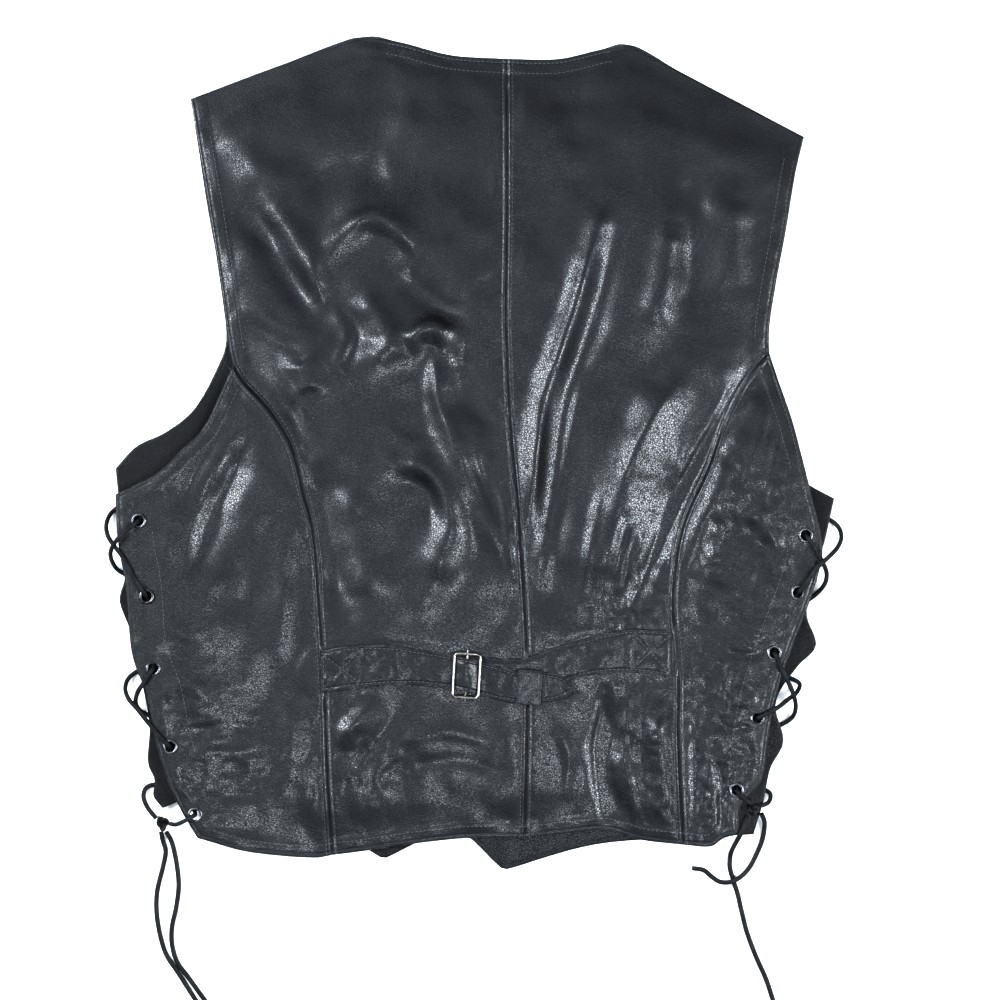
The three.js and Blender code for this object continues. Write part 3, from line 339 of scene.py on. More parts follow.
def through(place, strip, come_from, leave_to):
    """The lace's points through one eyelet, from above to below."""
    def toward(other, reach, z):
        dx, dy = other[0] - place[0], other[1] - place[1]
        length = math.hypot(dx, dy)
        return (place[0] + dx / length * reach, place[1] + dy / length * reach, z)

    above = strip + LEATHER + GAP + EYELET_LIP
    below = strip - GAP - EYELET_LIP
    return [
        toward(come_from, BEND_OUT, above + GAP + LACE / 2 + BEND_ARCH),
        toward(come_from, BEND_IN, above + BEND_RIM),
        toward(leave_to, BEND_IN, below - BEND_RIM),
        toward(leave_to, BEND_OUT, max(LACE_UNDER, below - GAP - LACE / 2 - BEND_ARCH)),
    ]


def through_back(places, row, come_from, leave_to):
    return through(places[row - 1], BACK_STRIP, come_from, leave_to)


def through_front(places, row, come_from, leave_to):
    return through(places[row - 1], FRONT_STRIP, come_from, leave_to)


# The side laces: x, y and the height of the centre line, from the knot through every eyelet and back
LACE_LEFT = [
    (-234.6, -284.4, 7.2), (-229, -284.6, 12.5), (-222, -281.5, LACE_OVER),
    *through_back(BACK_EYELETS_LEFT, 5, (-222, -281.5), (-218, -262)),
    (-217.5, -262, LACE_IN_HIGH), (-220.5, -240, 9.8),
    *through_front(FRONT_EYELETS_LEFT, 4, (-221.5, -226), (-240, -206.5)),
    (-238, -207.3, LACE_UNDER), (-250, -202.5, LACE_UNDER), (-257, -198.5, 3.2), (-260.2, -192, 8.5),
    (-258.2, -184, 14), (-252.5, -175, 17),
    *through_back(BACK_EYELETS_LEFT, 3, (-252.5, -175), (-246.2, -150)),
    (-246, -150, LACE_IN_HIGH), (-243.5, -133, LACE_IN_HIGH),
    *through_front(FRONT_EYELETS_LEFT, 2, (-242, -120), (-252, -100.5)),
    (-252, -100.5, LACE_UNDER), (-267, -94.5, LACE_UNDER), (-274.6, -90, 3), (-278.2, -83.5, 8.5),
    (-278.6, -76.5, 14.8), (-274.8, -69, LACE_CROSS), (-266.5, -60, LACE_CROSS),
    *through_back(BACK_EYELETS_LEFT, 1, (-266, -59.6), (-247, -40)),
    *through_front(FRONT_EYELETS_LEFT, 1, (-257, -52), (-260, -38.5)),
    (-258, -38.6, LACE_UNDER), (-271.5, -40.5, LACE_UNDER), (-279.5, -46, 3.2), (-282.6, -54.5, 8.6),
    (-281, -63, 14), (-276, -70.5, 17), (-269.5, -79, LACE_OVER), (-261, -94, LACE_OVER),
    *through_back(BACK_EYELETS_LEFT, 2, (-258, -98), (-246.5, -122)),
    (-246, -123, 9.6), (-240.5, -143, LACE_IN_LOW),
    *through_front(FRONT_EYELETS_LEFT, 3, (-238, -152), (-248, -164.4)),
    (-247, -164.5, LACE_UNDER), (-258, -167, LACE_UNDER), (-266, -173, 4), (-268, -180.5, 10),
    (-264.5, -188.5, 15.6), (-258.5, -195, 17.4), (-246, -210.5, LACE_OVER),
    *through_back(BACK_EYELETS_LEFT, 4, (-245, -211.5), (-230, -238)),
    (-230.4, -240, 9.4),
    *through_front(FRONT_EYELETS_LEFT, 5, (-229.5, -244), (-240, -255.5)),
    (-244, -255, LACE_UNDER), (-252.4, -257, 2), (-255, -263.5, 3), (-252, -272, 4), (-244.9, -280.8, 5.4),
]
LACE_RIGHT = [
    (212.4, -268.8, 15.2), (209.4, -267, 17), (206, -264.4, LACE_OVER),
    *through_back(BACK_EYELETS_RIGHT, 5, (205, -264), (205, -243)),
    (205.5, -243, LACE_IN_HIGH), (209.5, -229, LACE_IN_HIGH),
    *through_front(FRONT_EYELETS_RIGHT, 4, (212, -222), (226, -212)),
    (226, -212, LACE_UNDER), (237, -208.5, LACE_UNDER), (244.4, -202.5, 4), (246, -194, 9.6),
    (243, -183, 14.6), (237, -170.5, 17.2),
    *through_back(BACK_EYELETS_RIGHT, 3, (236, -167), (233, -140)),
    (232.6, -139, 10.2),
    *through_front(FRONT_EYELETS_RIGHT, 2, (234, -130), (248, -116.5)),
    (246, -117, LACE_UNDER), (255.8, -113.4, LACE_UNDER), (264, -107, 3.4), (268.8, -99.5, 8.6),
    (269, -91.5, 14.4), (265, -82.5, LACE_OVER), (260, -73.5, LACE_OVER),
    *through_back(BACK_EYELETS_RIGHT, 1, (258.5, -71), (249, -52)),
    *through_front(FRONT_EYELETS_RIGHT, 1, (253, -63), (262, -48.5)),
    (260, -49, LACE_UNDER), (271, -50.5, LACE_UNDER), (278.6, -56, 3.6), (281, -64, 9.6),
    (277.6, -72, 15.6), (271, -78.8, 19.4), (262.5, -86.5, LACE_CROSS), (255, -97, 18.6),
    *through_back(BACK_EYELETS_RIGHT, 2, (253.5, -99), (241, -120)),
    (240.5, -121, 9.8), (231, -143, LACE_IN_LOW),
    *through_front(FRONT_EYELETS_RIGHT, 3, (223, -158), (230, -170.5)),
    (232, -171, LACE_UNDER), (243, -173.4, 2.2), (249.4, -177.5, 5.2), (246.6, -184, 9), (239.4, -189, 13.2),
    (231, -195, 17),
    *through_back(BACK_EYELETS_RIGHT, 4, (228, -197), (209, -215)),
    (209, -215.5, 9.6), (202.5, -229, LACE_IN_LOW),
    *through_front(FRONT_EYELETS_RIGHT, 5, (199.5, -236), (206, -250)),
    (206, -250.5, LACE_UNDER), (218.5, -257, LACE_UNDER), (227, -262, 3), (225.6, -268, 7),
    (219.8, -270.6, 9.4),
]
KNOT_LEFT = {"centre": (-239.8, -284.6, 6), "half": (4.6, 6.4, 3.9)}
KNOT_RIGHT = {"centre": (213.4, -273.6, 10.2), "half": (4.4, 4.8, 3.6)}

# Free ends of the laces, from the knot outwards
LEFT_END_A = [
    (-241, -291.5, 5), (-240.2, -298, 2), (-238, -306, LACE_UNDER), (-240, -318, LACE_UNDER),
    (-244.5, -337, LACE_UNDER), (-245, -353, LACE_UNDER), (-242.5, -370, LACE_UNDER),
    (-237.5, -386, LACE_UNDER), (-229, -399, LACE_UNDER), (-215, -421, LACE_UNDER), (-209, -430, LACE_UNDER),
]
LEFT_END_B = [
    (-237, -291.2, 6), (-234.2, -297, 2.6), (-232, -304, LACE_UNDER), (-229, -320, LACE_UNDER),
    (-228, -334, LACE_UNDER), (-230, -350, LACE_UNDER), (-233.3, -366, LACE_UNDER),
    (-233, -379, LACE_UNDER), (-229, -392, LACE_UNDER), (-221, -403, LACE_UNDER),
    (-209.5, -419, LACE_UNDER), (-203, -428, LACE_UNDER),
]
RIGHT_END_A = [
    (219.6, -276.6, 8.4), (222.4, -283, 5), (222.5, -290, 2.4), (221, -298, LACE_UNDER),
    (216, -310, LACE_UNDER), (211, -319, 2.4), (204.5, -325.5, LACE_STACKED),
    (197, -329.5, LACE_STACKED), (189, -330, 3.2), (182, -326, LACE_UNDER),
    (176, -321, LACE_UNDER), (167, -319.5, LACE_UNDER),
]
RIGHT_END_B = [
    (208.8, -279, 12.8), (206.2, -285, 16), (202.8, -292, 16.8), (198.8, -301, 10.4), (196.5, -309, 3),
    (196, -318, LACE_UNDER), (198.5, -328, LACE_UNDER), (202, -339, LACE_UNDER), (205, -352, LACE_UNDER),
    (209, -368, LACE_UNDER), (216, -387, LACE_UNDER), (224, -405, LACE_UNDER), (229, -420, LACE_UNDER),
    (233, -431, LACE_UNDER),
]

# Where the photograph's centre falls on the surface, and how the camera stands over it
VIEW_CENTRE = (19.25, -36.2)
CAMERA_HEIGHT = 2139
CAMERA_LENS = 100
SENSOR_WIDTH = 36

# The studio: name of a softbox, the setting that holds its power, its size, and its place in metres
SOFTBOXES = [
    ("overhead", "main_power", (0.5, 0.5), (0.22, -0.56, 2.35)),
    ("key", "key_power", (0.9, 1.1), (-1.5, 0.5, 1.8)),
    ("fill", "fill_power", (0.7, 0.9), (1.55, -0.3, 1.8)),
    ("left", "side_power", (1.3, 1.3), (-2.1, 0.3, 1.3)),
    ("right", "side_power", (1.3, 1.3), (2.1, -0.2, 1.3)),
    ("far", "side_power", (1.3, 1.3), (0.1, 2.1, 1.3)),
    ("near", "side_power", (1.3, 1.3), (-0.1, -2.2, 1.3)),
]
LAMP_COLOUR = (0.88, 0.935, 1.0)
ROOM_STRENGTH = 0.03
FLOOR_SIZE = 6


# Plane geometry

def smooth(start, end, value):
    t = np.clip((value - start) / (end - start), 0.0, 1.0)
    return t * t * (3 - 2 * t)


def mix(a, b, t):
    return a + (b - a) * t


def curve_through(points, per_span=12):
    """Dense points on a centripetal curve through the given points, in any number of dimensions."""
    p = np.array(points, float)
    p = np.vstack([2 * p[0] - p[1], p, 2 * p[-1] - p[-2]])
    out = []
    for i in range(1, len(p) - 2):
        p0, p1, p2, p3 = p[i - 1:i + 3]
        t0 = 0.0
        t1 = t0 + math.sqrt(max(np.linalg.norm(p1 - p0), 1e-6))
        t2 = t1 + math.sqrt(max(np.linalg.norm(p2 - p1), 1e-6))
        t3 = t2 + math.sqrt(max(np.linalg.norm(p3 - p2), 1e-6))
        t = np.linspace(t1, t2, per_span, endpoint=False)[:, None]
        a1 = (t1 - t) / (t1 - t0) * p0 + (t - t0) / (t1 - t0) * p1
        a2 = (t2 - t) / (t2 - t1) * p1 + (t - t1) / (t2 - t1) * p2
        a3 = (t3 - t) / (t3 - t2) * p2 + (t - t2) / (t3 - t2) * p3
        b1 = (t2 - t) / (t2 - t0) * a1 + (t - t0) / (t2 - t0) * a2
        b2 = (t3 - t) / (t3 - t1) * a2 + (t - t1) / (t3 - t1) * a3
        out.append((t2 - t) / (t2 - t1) * b1 + (t - t1) / (t2 - t1) * b2)
    out.append(p[-2][None, :])
    return np.vstack(out)


def lengths_along(line):
    steps = np.linalg.norm(np.diff(line, axis=0), axis=1)
    return np.concatenate([[0.0], np.cumsum(steps)])


def at_shares(points, shares):
    """Points of the smooth curve at the given shares of its length."""
    line = curve_through(points)
    run = lengths_along(line)
    where = np.asarray(shares) * run[-1]
    return np.column_stack([np.interp(where, run, line[:, k]) for k in range(line.shape[1])])


def rail(curves, shares):
    """Curves joined end to end, each read at its own shares of its length."""
    runs = [at_shares(curve, share) for curve, share in zip(curves, shares)]
    return np.vstack([runs[0]] + [run[1:] for run in runs[1:]])


# Distances from an edge at which a mesh has points, close together where grooves and stitch rows are
NEAR_AN_EDGE = np.array([0, 0.6, 1.2, 1.8, 2.4, 3, 3.6, 4.2, 5, 6.3, 7.7, 9, 9.9, 10.7, 11.5, 12.5, 14.4])


def crowded(length, step, start=True, end=True):
    """Shares of a length that lie close together at the ends, where seams and turned edges are."""
    low = NEAR_AN_EDGE if start else np.array([0.0])
    high = (length - NEAR_AN_EDGE)[::-1] if end else np.array([length])
    middle = np.arange(low[-1] + step, high[0] - step / 2, step)
    return np.concatenate([low, middle, high]) / length


def patch(left, right, bottom, top, us, vs):
    """A grid of places filled in between four rails."""
    u, v = np.asarray(us)[None, :, None], np.asarray(vs)[:, None, None]
    across = mix(left[:, None, :], right[:, None, :], u)
    up = mix(bottom[None, :, :], top[None, :, :], v)
    corners = mix(mix(bottom[0], bottom[-1], u), mix(top[0], top[-1], u), v)
    return across + up - corners


def to_line(x, y, line):
    """Distance from each place to a line, and how far along the line its nearest point lies."""
    line = np.asarray(line, float)
    best = np.full(x.shape, 1e9)
    share = np.zeros(x.shape)
    for i in range(len(line) - 1):
        (ax, ay), (dx, dy) = line[i], line[i + 1] - line[i]
        t = np.clip(((x - ax) * dx + (y - ay) * dy) / (dx * dx + dy * dy), 0, 1)
        far = np.hypot(x - ax - t * dx, y - ay - t * dy)
        nearer = far < best
        best = np.where(nearer, far, best)
        share = np.where(nearer, (i + t) / (len(line) - 1), share)
    return best, share


def bell(distance, at, width):
    """A soft bump of height 1 at a distance."""
    return np.exp(-(((distance - at) / width) ** 2))


def rounding(distance, reach):
    """1 at an edge, falling to 0 at its reach, as a cut or folded edge rolls over."""
    return (1 - smooth(0, reach, distance)) ** 2


def inset(line, distance):
    """The line moved to its left by a distance."""
    line = np.asarray(line, float)
    slope = np.gradient(line, axis=0)
    slope /= np.linalg.norm(slope, axis=1)[:, None]
    return line + distance * np.column_stack([-slope[:, 1], slope[:, 0]])


def value_noise(x, y, size, seed):
    """Soft, repeatable noise from -1 to 1 with cells of the given size."""
    gx, gy = x / size, y / size
    ix, iy = np.floor(gx), np.floor(gy)
    fx, fy = gx - ix, gy - iy
    fx, fy = fx * fx * (3 - 2 * fx), fy * fy * (3 - 2 * fy)

    def corner(cx, cy):
        h = np.sin(cx * 127.1 + cy * 311.7 + seed * 74.7) * 43758.5453
        return 2 * (h - np.floor(h)) - 1

    low = mix(corner(ix, iy), corner(ix + 1, iy), fx)
    high = mix(corner(ix, iy + 1), corner(ix + 1, iy + 1), fx)
    return mix(low, high, fy)


# Heights of the cloth

HEM_LINE = HEM_SIDE_LEFT + HEM_CENTRE_LEFT + HEM_CENTRE_RIGHT + HEM_SIDE_RIGHT
TOP_LINE = SHOULDER_NECK_LEFT + SHOULDER_NECK_RIGHT
FOLD_FADE = 0.22
FOLD_END = 0.35
FOLD_BLEND = 2.5
MEETING = 0.35
MEETING_LIMIT = 30
STEP_START = (-70, -45)
STRIP_TOP = (-20, 75)
FRONT_STRIP_TOP = (0, 90)
ARM_FIELD = 0.6
ARM_FOLDS = 0.35
TOP_FLAT = 4


def along_fold(x, y, line):
    """Distance from each place to a fold, and its share of the fold's length without jumps."""
    pieces = [to_line(x, y, line[i:i + 2]) for i in range(len(line) - 1)]
    far = np.min([piece[0] for piece in pieces], axis=0)
    total, weights = np.zeros(x.shape), np.zeros(x.shape)
    for i, (distance, t) in enumerate(pieces):
        weight = np.exp((far - distance) / FOLD_BLEND)
        total += weight * (i + t) / len(pieces)
        weights += weight
    return far, total / weights


def fold_sum(x, y, rows):
    """Sum of folds: each one swells in its middle and dies away at both ends."""
    height = np.zeros(x.shape)
    for rise, width, path in rows:
        line = at_shares(path, np.linspace(0, 1, 3 * len(path) + 1))
        far, share = along_fold(x, y, line)
        swell = mix(FOLD_END, 1, smooth(0, FOLD_FADE, share) * smooth(0, FOLD_FADE, 1 - share))
        height += rise * swell * np.exp(-((far / width) ** 2))
    return height


def inward(x, y, left_line, right_line):
    """Distance of each place across from the nearer of two side edges."""
    left, right = [np.interp(y, *np.array(line).T[::-1]) for line in (left_line, right_line)]
    return np.where(x < 0, x - left, right - x)


def soft_max(high, low):
    """The higher of two heights, rounded over where they cross."""
    lift = np.clip((high - low) / MEETING, -MEETING_LIMIT, MEETING_LIMIT)
    return np.where(lift < MEETING_LIMIT - 1, low + MEETING * np.log1p(np.exp(lift)), high)


def back_height(x, y, extra=0):
    """Underside of the back as its solids have it, with extra relief that can't reach the fronts below."""
    hem = smooth(0, EDGE_RISE, to_line(x, y, HEM_LINE)[0])
    top = smooth(TOP_FLAT, EDGE_RISE, to_line(x, y, TOP_LINE)[0])
    arm = np.minimum(to_line(x, y, ARMHOLE_LEFT_UPPER)[0], to_line(x, y, ARMHOLE_RIGHT_UPPER)[0])
    arm = smooth(0, EDGE_RISE, arm)
    calm = smooth(BELT_CALM, BELT_CALM_END, to_line(x, y, BELT_LINE)[0])
    field = mix(SHOULDER_SEAM, BACK_FIELD, top * mix(ARM_FIELD, 1, arm))
    field = mix(BACK_HEM, field, hem)
    over_step = smooth(*STEP_START, x) * (1 - smooth(FRONT_STEP_START, FRONT_STEP_END, x))
    lowest = np.minimum(field, BACK_LOWEST + FRONT_STEP * over_step)
    free = hem * top * mix(ARM_FOLDS, 1, arm)
    folded = field + fold_sum(x, y, FOLDS) * calm * free
    inner = soft_max(folded + extra, lowest)
    edge = inward(x, y, LACED_EDGE_LEFT, LACED_EDGE_RIGHT)
    strip = (1 - smooth(BACK_STRIP_WIDTH, BACK_STRIP_END, edge)) * (1 - smooth(*STRIP_TOP, y))
    return mix(inner, BACK_STRIP + extra, strip)


SEAMS = [PRINCESS_LEFT, PRINCESS_RIGHT, CENTRE_SEAM_LOWER + CENTRE_SEAM_UPPER]
TURNED_EDGES = [
    HEM_LINE, NECK_LINE, ARMHOLE_LEFT_UPPER, ARMHOLE_RIGHT_UPPER, ARMHOLE_LEFT_LOWER,
    ARMHOLE_RIGHT_LOWER, LACED_EDGE_LEFT, LACED_EDGE_RIGHT,
]
SHOULDER_LINES = [SHOULDER_NECK_LEFT[:3], SHOULDER_NECK_RIGHT[3:]]
SEAM_STITCH = 3.6
EDGE_STITCH = 3
TURN_STITCH = 10.8
HEM_STITCH = 9
FACING_STITCH = 27

# Grooves and ridges beside the seams and the turned edges: height, distance, half width
SEAM_PROFILE = [(-0.9, 0, 0.8), (0.4, 2.2, 1.4), (-0.3, SEAM_STITCH, 0.7)]
EDGE_PROFILE = [(-0.28, EDGE_STITCH, 0.8), (-0.28, TURN_STITCH, 0.8)]
TURN_RISE = 0.5
TURN_END = (10.8, 13)
EDGE_ROLL = 0.9
SHOULDER_ROLL = 0.8
ROLL_REACH = 1.8

# Puckers beside the seams and edges: size, seed, distance, half width; and their height
SEAM_PUCKER = (6, 3, 5, 5)
EDGE_PUCKER = (7, 9, 7, 6)
PUCKER_HEIGHT = 0.3

# Slack in the leather: size, seed, height
WAVES = [(36, 1, 1.5), (19, 2, 0.7), (10, 6, 0.15)]
CALM_REACH = 16
CREASE_SHARE = 0.9

# Crinkled patches: x, y, reach
PEBBLED = [
    (200, -60, 70), (150, -250, 60), (205, -200, 60), (-200, -230, 50), (-90, -240, 40), (120, -140, 40),
]
CRINKLE_HEIGHT = 0.6
CRINKLE_SIZE = 7
CRINKLE_BEND = 3

# Under the belt the relief is pressed flat: its share there, and the distances over which it comes back
BELT_PRESS = 0.25
BELT_PRESS_END = (14, 22)

# How much shade is painted into the grooves: the share of a stitch row, and the half widths of seams and rows
ROW_SHADE = 0.8
ROW_HALF = 0.9
SEAM_HALF = 0.8


def nearest_of(x, y, lines):
    far = np.full(x.shape, 1e9)
    for line in lines:
        far = np.minimum(far, to_line(x, y, curve_through(line, 6))[0])
    return far


def relief(x, y):
    """Seams, turned edges, puckers and small wrinkles on the outside of the back."""
    seam = nearest_of(x, y, SEAMS)
    edge = nearest_of(x, y, TURNED_EDGES)
    shoulder = nearest_of(x, y, SHOULDER_LINES)
    z = sum(height * bell(seam, at, width) for height, at, width in SEAM_PROFILE)
    z += TURN_RISE * (1 - smooth(*TURN_END, edge)) - EDGE_ROLL * rounding(edge, ROLL_REACH)
    z += sum(height * bell(edge, at, width) for height, at, width in EDGE_PROFILE)
    z -= SHOULDER_ROLL * rounding(shoulder, ROLL_REACH)
    for distance, (size, seed, at, width) in ((seam, SEAM_PUCKER), (edge, EDGE_PUCKER)):
        z += PUCKER_HEIGHT * value_noise(x, y, size, seed) * bell(distance, at, width)
    away = smooth(0, CALM_REACH, np.minimum(edge, seam))
    z += away * fold_sum(x, y, CREASES) * CREASE_SHARE
    z += away * sum(value_noise(x, y, size, seed) * height for size, seed, height in WAVES)
    crinkle = 1 - np.abs(value_noise(x + CRINKLE_BEND * value_noise(x, y, 9, 5), y, CRINKLE_SIZE, 4)) * 2
    patchy = sum(np.exp(-(((x - px) ** 2 + (y - py) ** 2) / reach ** 2)) for px, py, reach in PEBBLED)
    z += away * crinkle * CRINKLE_HEIGHT * np.clip(patchy, 0, 1)
    return z


def stitch_row_shade(x, y):
    """How much shade is painted at a place, in the seams and in the rows of stitches beside them."""
    seam = nearest_of(x, y, SEAMS)
    edge = nearest_of(x, y, TURNED_EDGES)
    rows = bell(seam, 0, SEAM_HALF)
    for distance, at in ((seam, SEAM_STITCH), (edge, EDGE_STITCH), (edge, TURN_STITCH)):
        rows = np.maximum(rows, ROW_SHADE * bell(distance, at, ROW_HALF))
    return rows


def back_top(x, y):
    """Outer face of the back, where belt, stitches and eyelets lie."""
    belt = smooth(*BELT_PRESS_END, to_line(x, y, BELT_LINE)[0])
    return back_height(x, y, relief(x, y) * mix(BELT_PRESS, 1, belt)) + LEATHER


def front_lift(x, y):
    """Underside of a front, which rises to its laced edge."""
    edge = inward(x, y, FRONT_LEFT_EDGE, FRONT_RIGHT_EDGE)
    rise = 1 - smooth(FRONT_STRIP_WIDTH, FRONT_STRIP_END, edge)
    return FRONT_STRIP * rise * (1 - smooth(*FRONT_STRIP_TOP, y))


def front_right_height(x, y):
    """Underside of the right front, which laps over the left one at the closing edge."""
    return np.maximum(front_lift(x, y), FRONT_STEP * (1 - smooth(FRONT_STEP_START, FRONT_STEP_END, x)))


# Materials

def new_group(name, inputs, outputs):
    """A shader node group with the given named sockets."""
    group = bpy.data.node_groups.new(name, "ShaderNodeTree")
    for label, kind, value in inputs:
        socket = group.interface.new_socket(name=label, in_out="INPUT", socket_type=kind)
        if value is not None:
            socket.default_value = value
    for label, kind in outputs:
        group.interface.new_socket(name=label, in_out="OUTPUT", socket_type=kind)
    return group, group.nodes.new("NodeGroupInput"), group.nodes.new("NodeGroupOutput")


def put(tree, kind, settings=None, **values):
    """One node with its properties and its unlinked inputs set."""
    node = tree.nodes.new(kind)
    for key, value in (settings or {}).items():
        setattr(node, key, value)
    for key, value in values.items():
        node.inputs[key.replace("_", " ")].default_value = value
    return node


def math_node(tree, operation, a, b):
    node = tree.nodes.new("ShaderNodeMath")
    node.operation = operation
    for socket, value in zip(node.inputs, (a, b)):
        if isinstance(value, (int, float)):
            socket.default_value = value
        else:
            tree.links.new(value, socket)
    return node.outputs[0]


def new_material(name):
    """A new material, with its tree, its shader and its object coordinates."""
    material = bpy.data.materials.new(name)
    material.use_nodes = True
    tree = material.node_tree
    place = put(tree, "ShaderNodeTexCoord").outputs["Object"]
    return material, tree, tree.nodes["Principled BSDF"], place


def shaded(tree, first, second, share):
    """A colour between two, by a share that varies."""
    shade = put(tree, "ShaderNodeMix", {"data_type": "RGBA"})
    shade.inputs["A"].default_value = (*first, 1)
    shade.inputs["B"].default_value = (*second, 1)
    tree.links.new(share, shade.inputs["Factor"])
    return shade.outputs["Result"]


# Leather grain: how much finer each size of pebble is, how far plateaus and creases reach, and the heights
GRAIN_SIZES = (1.15, 2.3)
PLATEAU_REACH = 0.34
CREASE_REACH = 0.3
LARGE_HEIGHT = 1.5
SMALL_HEIGHT = 0.55
PORE_HEIGHT = 0.9
SWELL_HEIGHT = 2.0
WARP_REACH = 0.0016


def grain_group():
    """Pebbled leather grain: rounded plateaus of two sizes between fine creases, and a mask of the creases
    into which shade is painted.
    """
    if "Leather Grain" in bpy.data.node_groups:
        return bpy.data.node_groups["Leather Grain"]
    group, source, sink = new_group(
        "Leather Grain",
        [("Vector", "NodeSocketVector", None), ("Pebble Size", "NodeSocketFloat", 1.6)],
        [("Height", "NodeSocketFloat"), ("Crease", "NodeSocketFloat"), ("Patch", "NodeSocketFloat")])
    link = group.links.new
    warp = put(group, "ShaderNodeTexNoise", Scale=300.0, Detail=2.0)
    link(source.outputs["Vector"], warp.inputs["Vector"])
    bend = put(group, "ShaderNodeVectorMath", {"operation": "SCALE"}, Scale=WARP_REACH)
    link(warp.outputs["Color"], bend.inputs[0])
    moved = put(group, "ShaderNodeVectorMath", {"operation": "ADD"})
    link(source.outputs["Vector"], moved.inputs[0])
    link(bend.outputs[0], moved.inputs[1])
    scale = math_node(group, "DIVIDE", 1000.0, source.outputs["Pebble Size"])
    broad = put(group, "ShaderNodeTexNoise", Scale=22.0, Detail=4.0, Roughness=0.6)
    link(source.outputs["Vector"], broad.inputs["Vector"])
    patch_value = put(group, "ShaderNodeMapRange", From_Min=0.35, From_Max=0.65)
    link(broad.outputs["Fac"], patch_value.inputs["Value"])
    plateaus, creases = [], []
    for factor in GRAIN_SIZES:
        cells = put(group, "ShaderNodeTexVoronoi", {"feature": "DISTANCE_TO_EDGE"})
        link(moved.outputs[0], cells.inputs["Vector"])
        link(math_node(group, "MULTIPLY", scale, factor), cells.inputs["Scale"])
        for reach, kept in ((PLATEAU_REACH, plateaus), (CREASE_REACH, creases)):
            rounded = put(group, "ShaderNodeMapRange", {"interpolation_type": "SMOOTHSTEP"}, From_Max=reach)
            link(cells.outputs["Distance"], rounded.inputs["Value"])
            kept.append(rounded.outputs[0])
    large = math_node(group, "MULTIPLY", plateaus[0], LARGE_HEIGHT)
    small = math_node(group, "MULTIPLY", plateaus[1], SMALL_HEIGHT)
    fine = put(group, "ShaderNodeTexNoise", Scale=520.0, Detail=2.0)
    link(source.outputs["Vector"], fine.inputs["Vector"])
    pores = math_node(group, "MULTIPLY", fine.outputs["Fac"], PORE_HEIGHT)
    coarse = put(group, "ShaderNodeTexNoise", Scale=190.0, Detail=3.0, Roughness=0.6)
    link(source.outputs["Vector"], coarse.inputs["Vector"])
    swell = math_node(group, "MULTIPLY", coarse.outputs["Fac"], SWELL_HEIGHT)
    pebbles = math_node(group, "ADD", large, small)
    skin = math_node(group, "ADD", pores, swell)
    link(math_node(group, "ADD", pebbles, skin), sink.inputs["Height"])
    # The creases' mask: the leather paints shade into them and dulls their gloss
    both = math_node(group, "MULTIPLY", creases[0], math_node(group, "MAXIMUM", creases[1], 0.5))
    link(math_node(group, "SUBTRACT", 1.0, both), sink.inputs["Crease"])
    link(patch_value.outputs[0], sink.inputs["Patch"])
    return group


def wear_and_highlight_group():
    """Bright rub marks where an attribute says that an edge is near: partly wear, partly a painted edge
    highlight.
    """
    if "Edge Wear" in bpy.data.node_groups:
        return bpy.data.node_groups["Edge Wear"]
    group, source, sink = new_group(
        "Edge Wear",
        [("Vector", "NodeSocketVector", None), ("Edge", "NodeSocketFloat", 0.0),
         ("Amount", "NodeSocketFloat", 0.5)],
        [("Mask", "NodeSocketFloat")])
    link = group.links.new
    spots = put(group, "ShaderNodeTexNoise", Scale=140.0, Detail=5.0, Roughness=0.7)
    link(source.outputs["Vector"], spots.inputs["Vector"])
    cut = put(group, "ShaderNodeMapRange", From_Min=0.45, From_Max=0.7)
    link(spots.outputs["Fac"], cut.inputs["Value"])
    near = math_node(group, "MULTIPLY", cut.outputs[0], source.outputs["Edge"])
    link(math_node(group, "MULTIPLY", near, source.outputs["Amount"]), sink.inputs["Mask"])
    return group


LEATHERS = {
    # name: dark colour, painted as shade into grain creases and stitch rows; light colour; rough low, rough
    # high, pebble mm, grain depth mm, rub marks (wear and a painted edge highlight), polish
    "back_leather": ((0.003, 0.0033, 0.0042), (0.006, 0.0065, 0.008), 0.36, 0.46, 1.9, 0.08, 0.35, 0.95),
    "front_leather": ((0.003, 0.0032, 0.0038), (0.006, 0.0063, 0.0074), 0.4, 0.5, 1.9, 0.08, 0.35, 0.3),
    "belt_leather": ((0.003, 0.0033, 0.0042), (0.008, 0.0086, 0.0104), 0.36, 0.46, 1.5, 0.08, 0.6, 0.8),
    "lace_leather": ((0.006, 0.0062, 0.0068), (0.016, 0.0165, 0.0175), 0.42, 0.6, 0.9, 0.05, 0.3, 0.1),
}
# Colour of the rub marks near edges, partly wear and partly a painted highlight
RUB_AND_HIGHLIGHT_COLOUR = (0.11, 0.112, 0.118, 1)
COAT_ROUGH = 0.25
DULLED = 0.12
BASE_SHINE = 0.1
SHINE_GAIN = 0.14


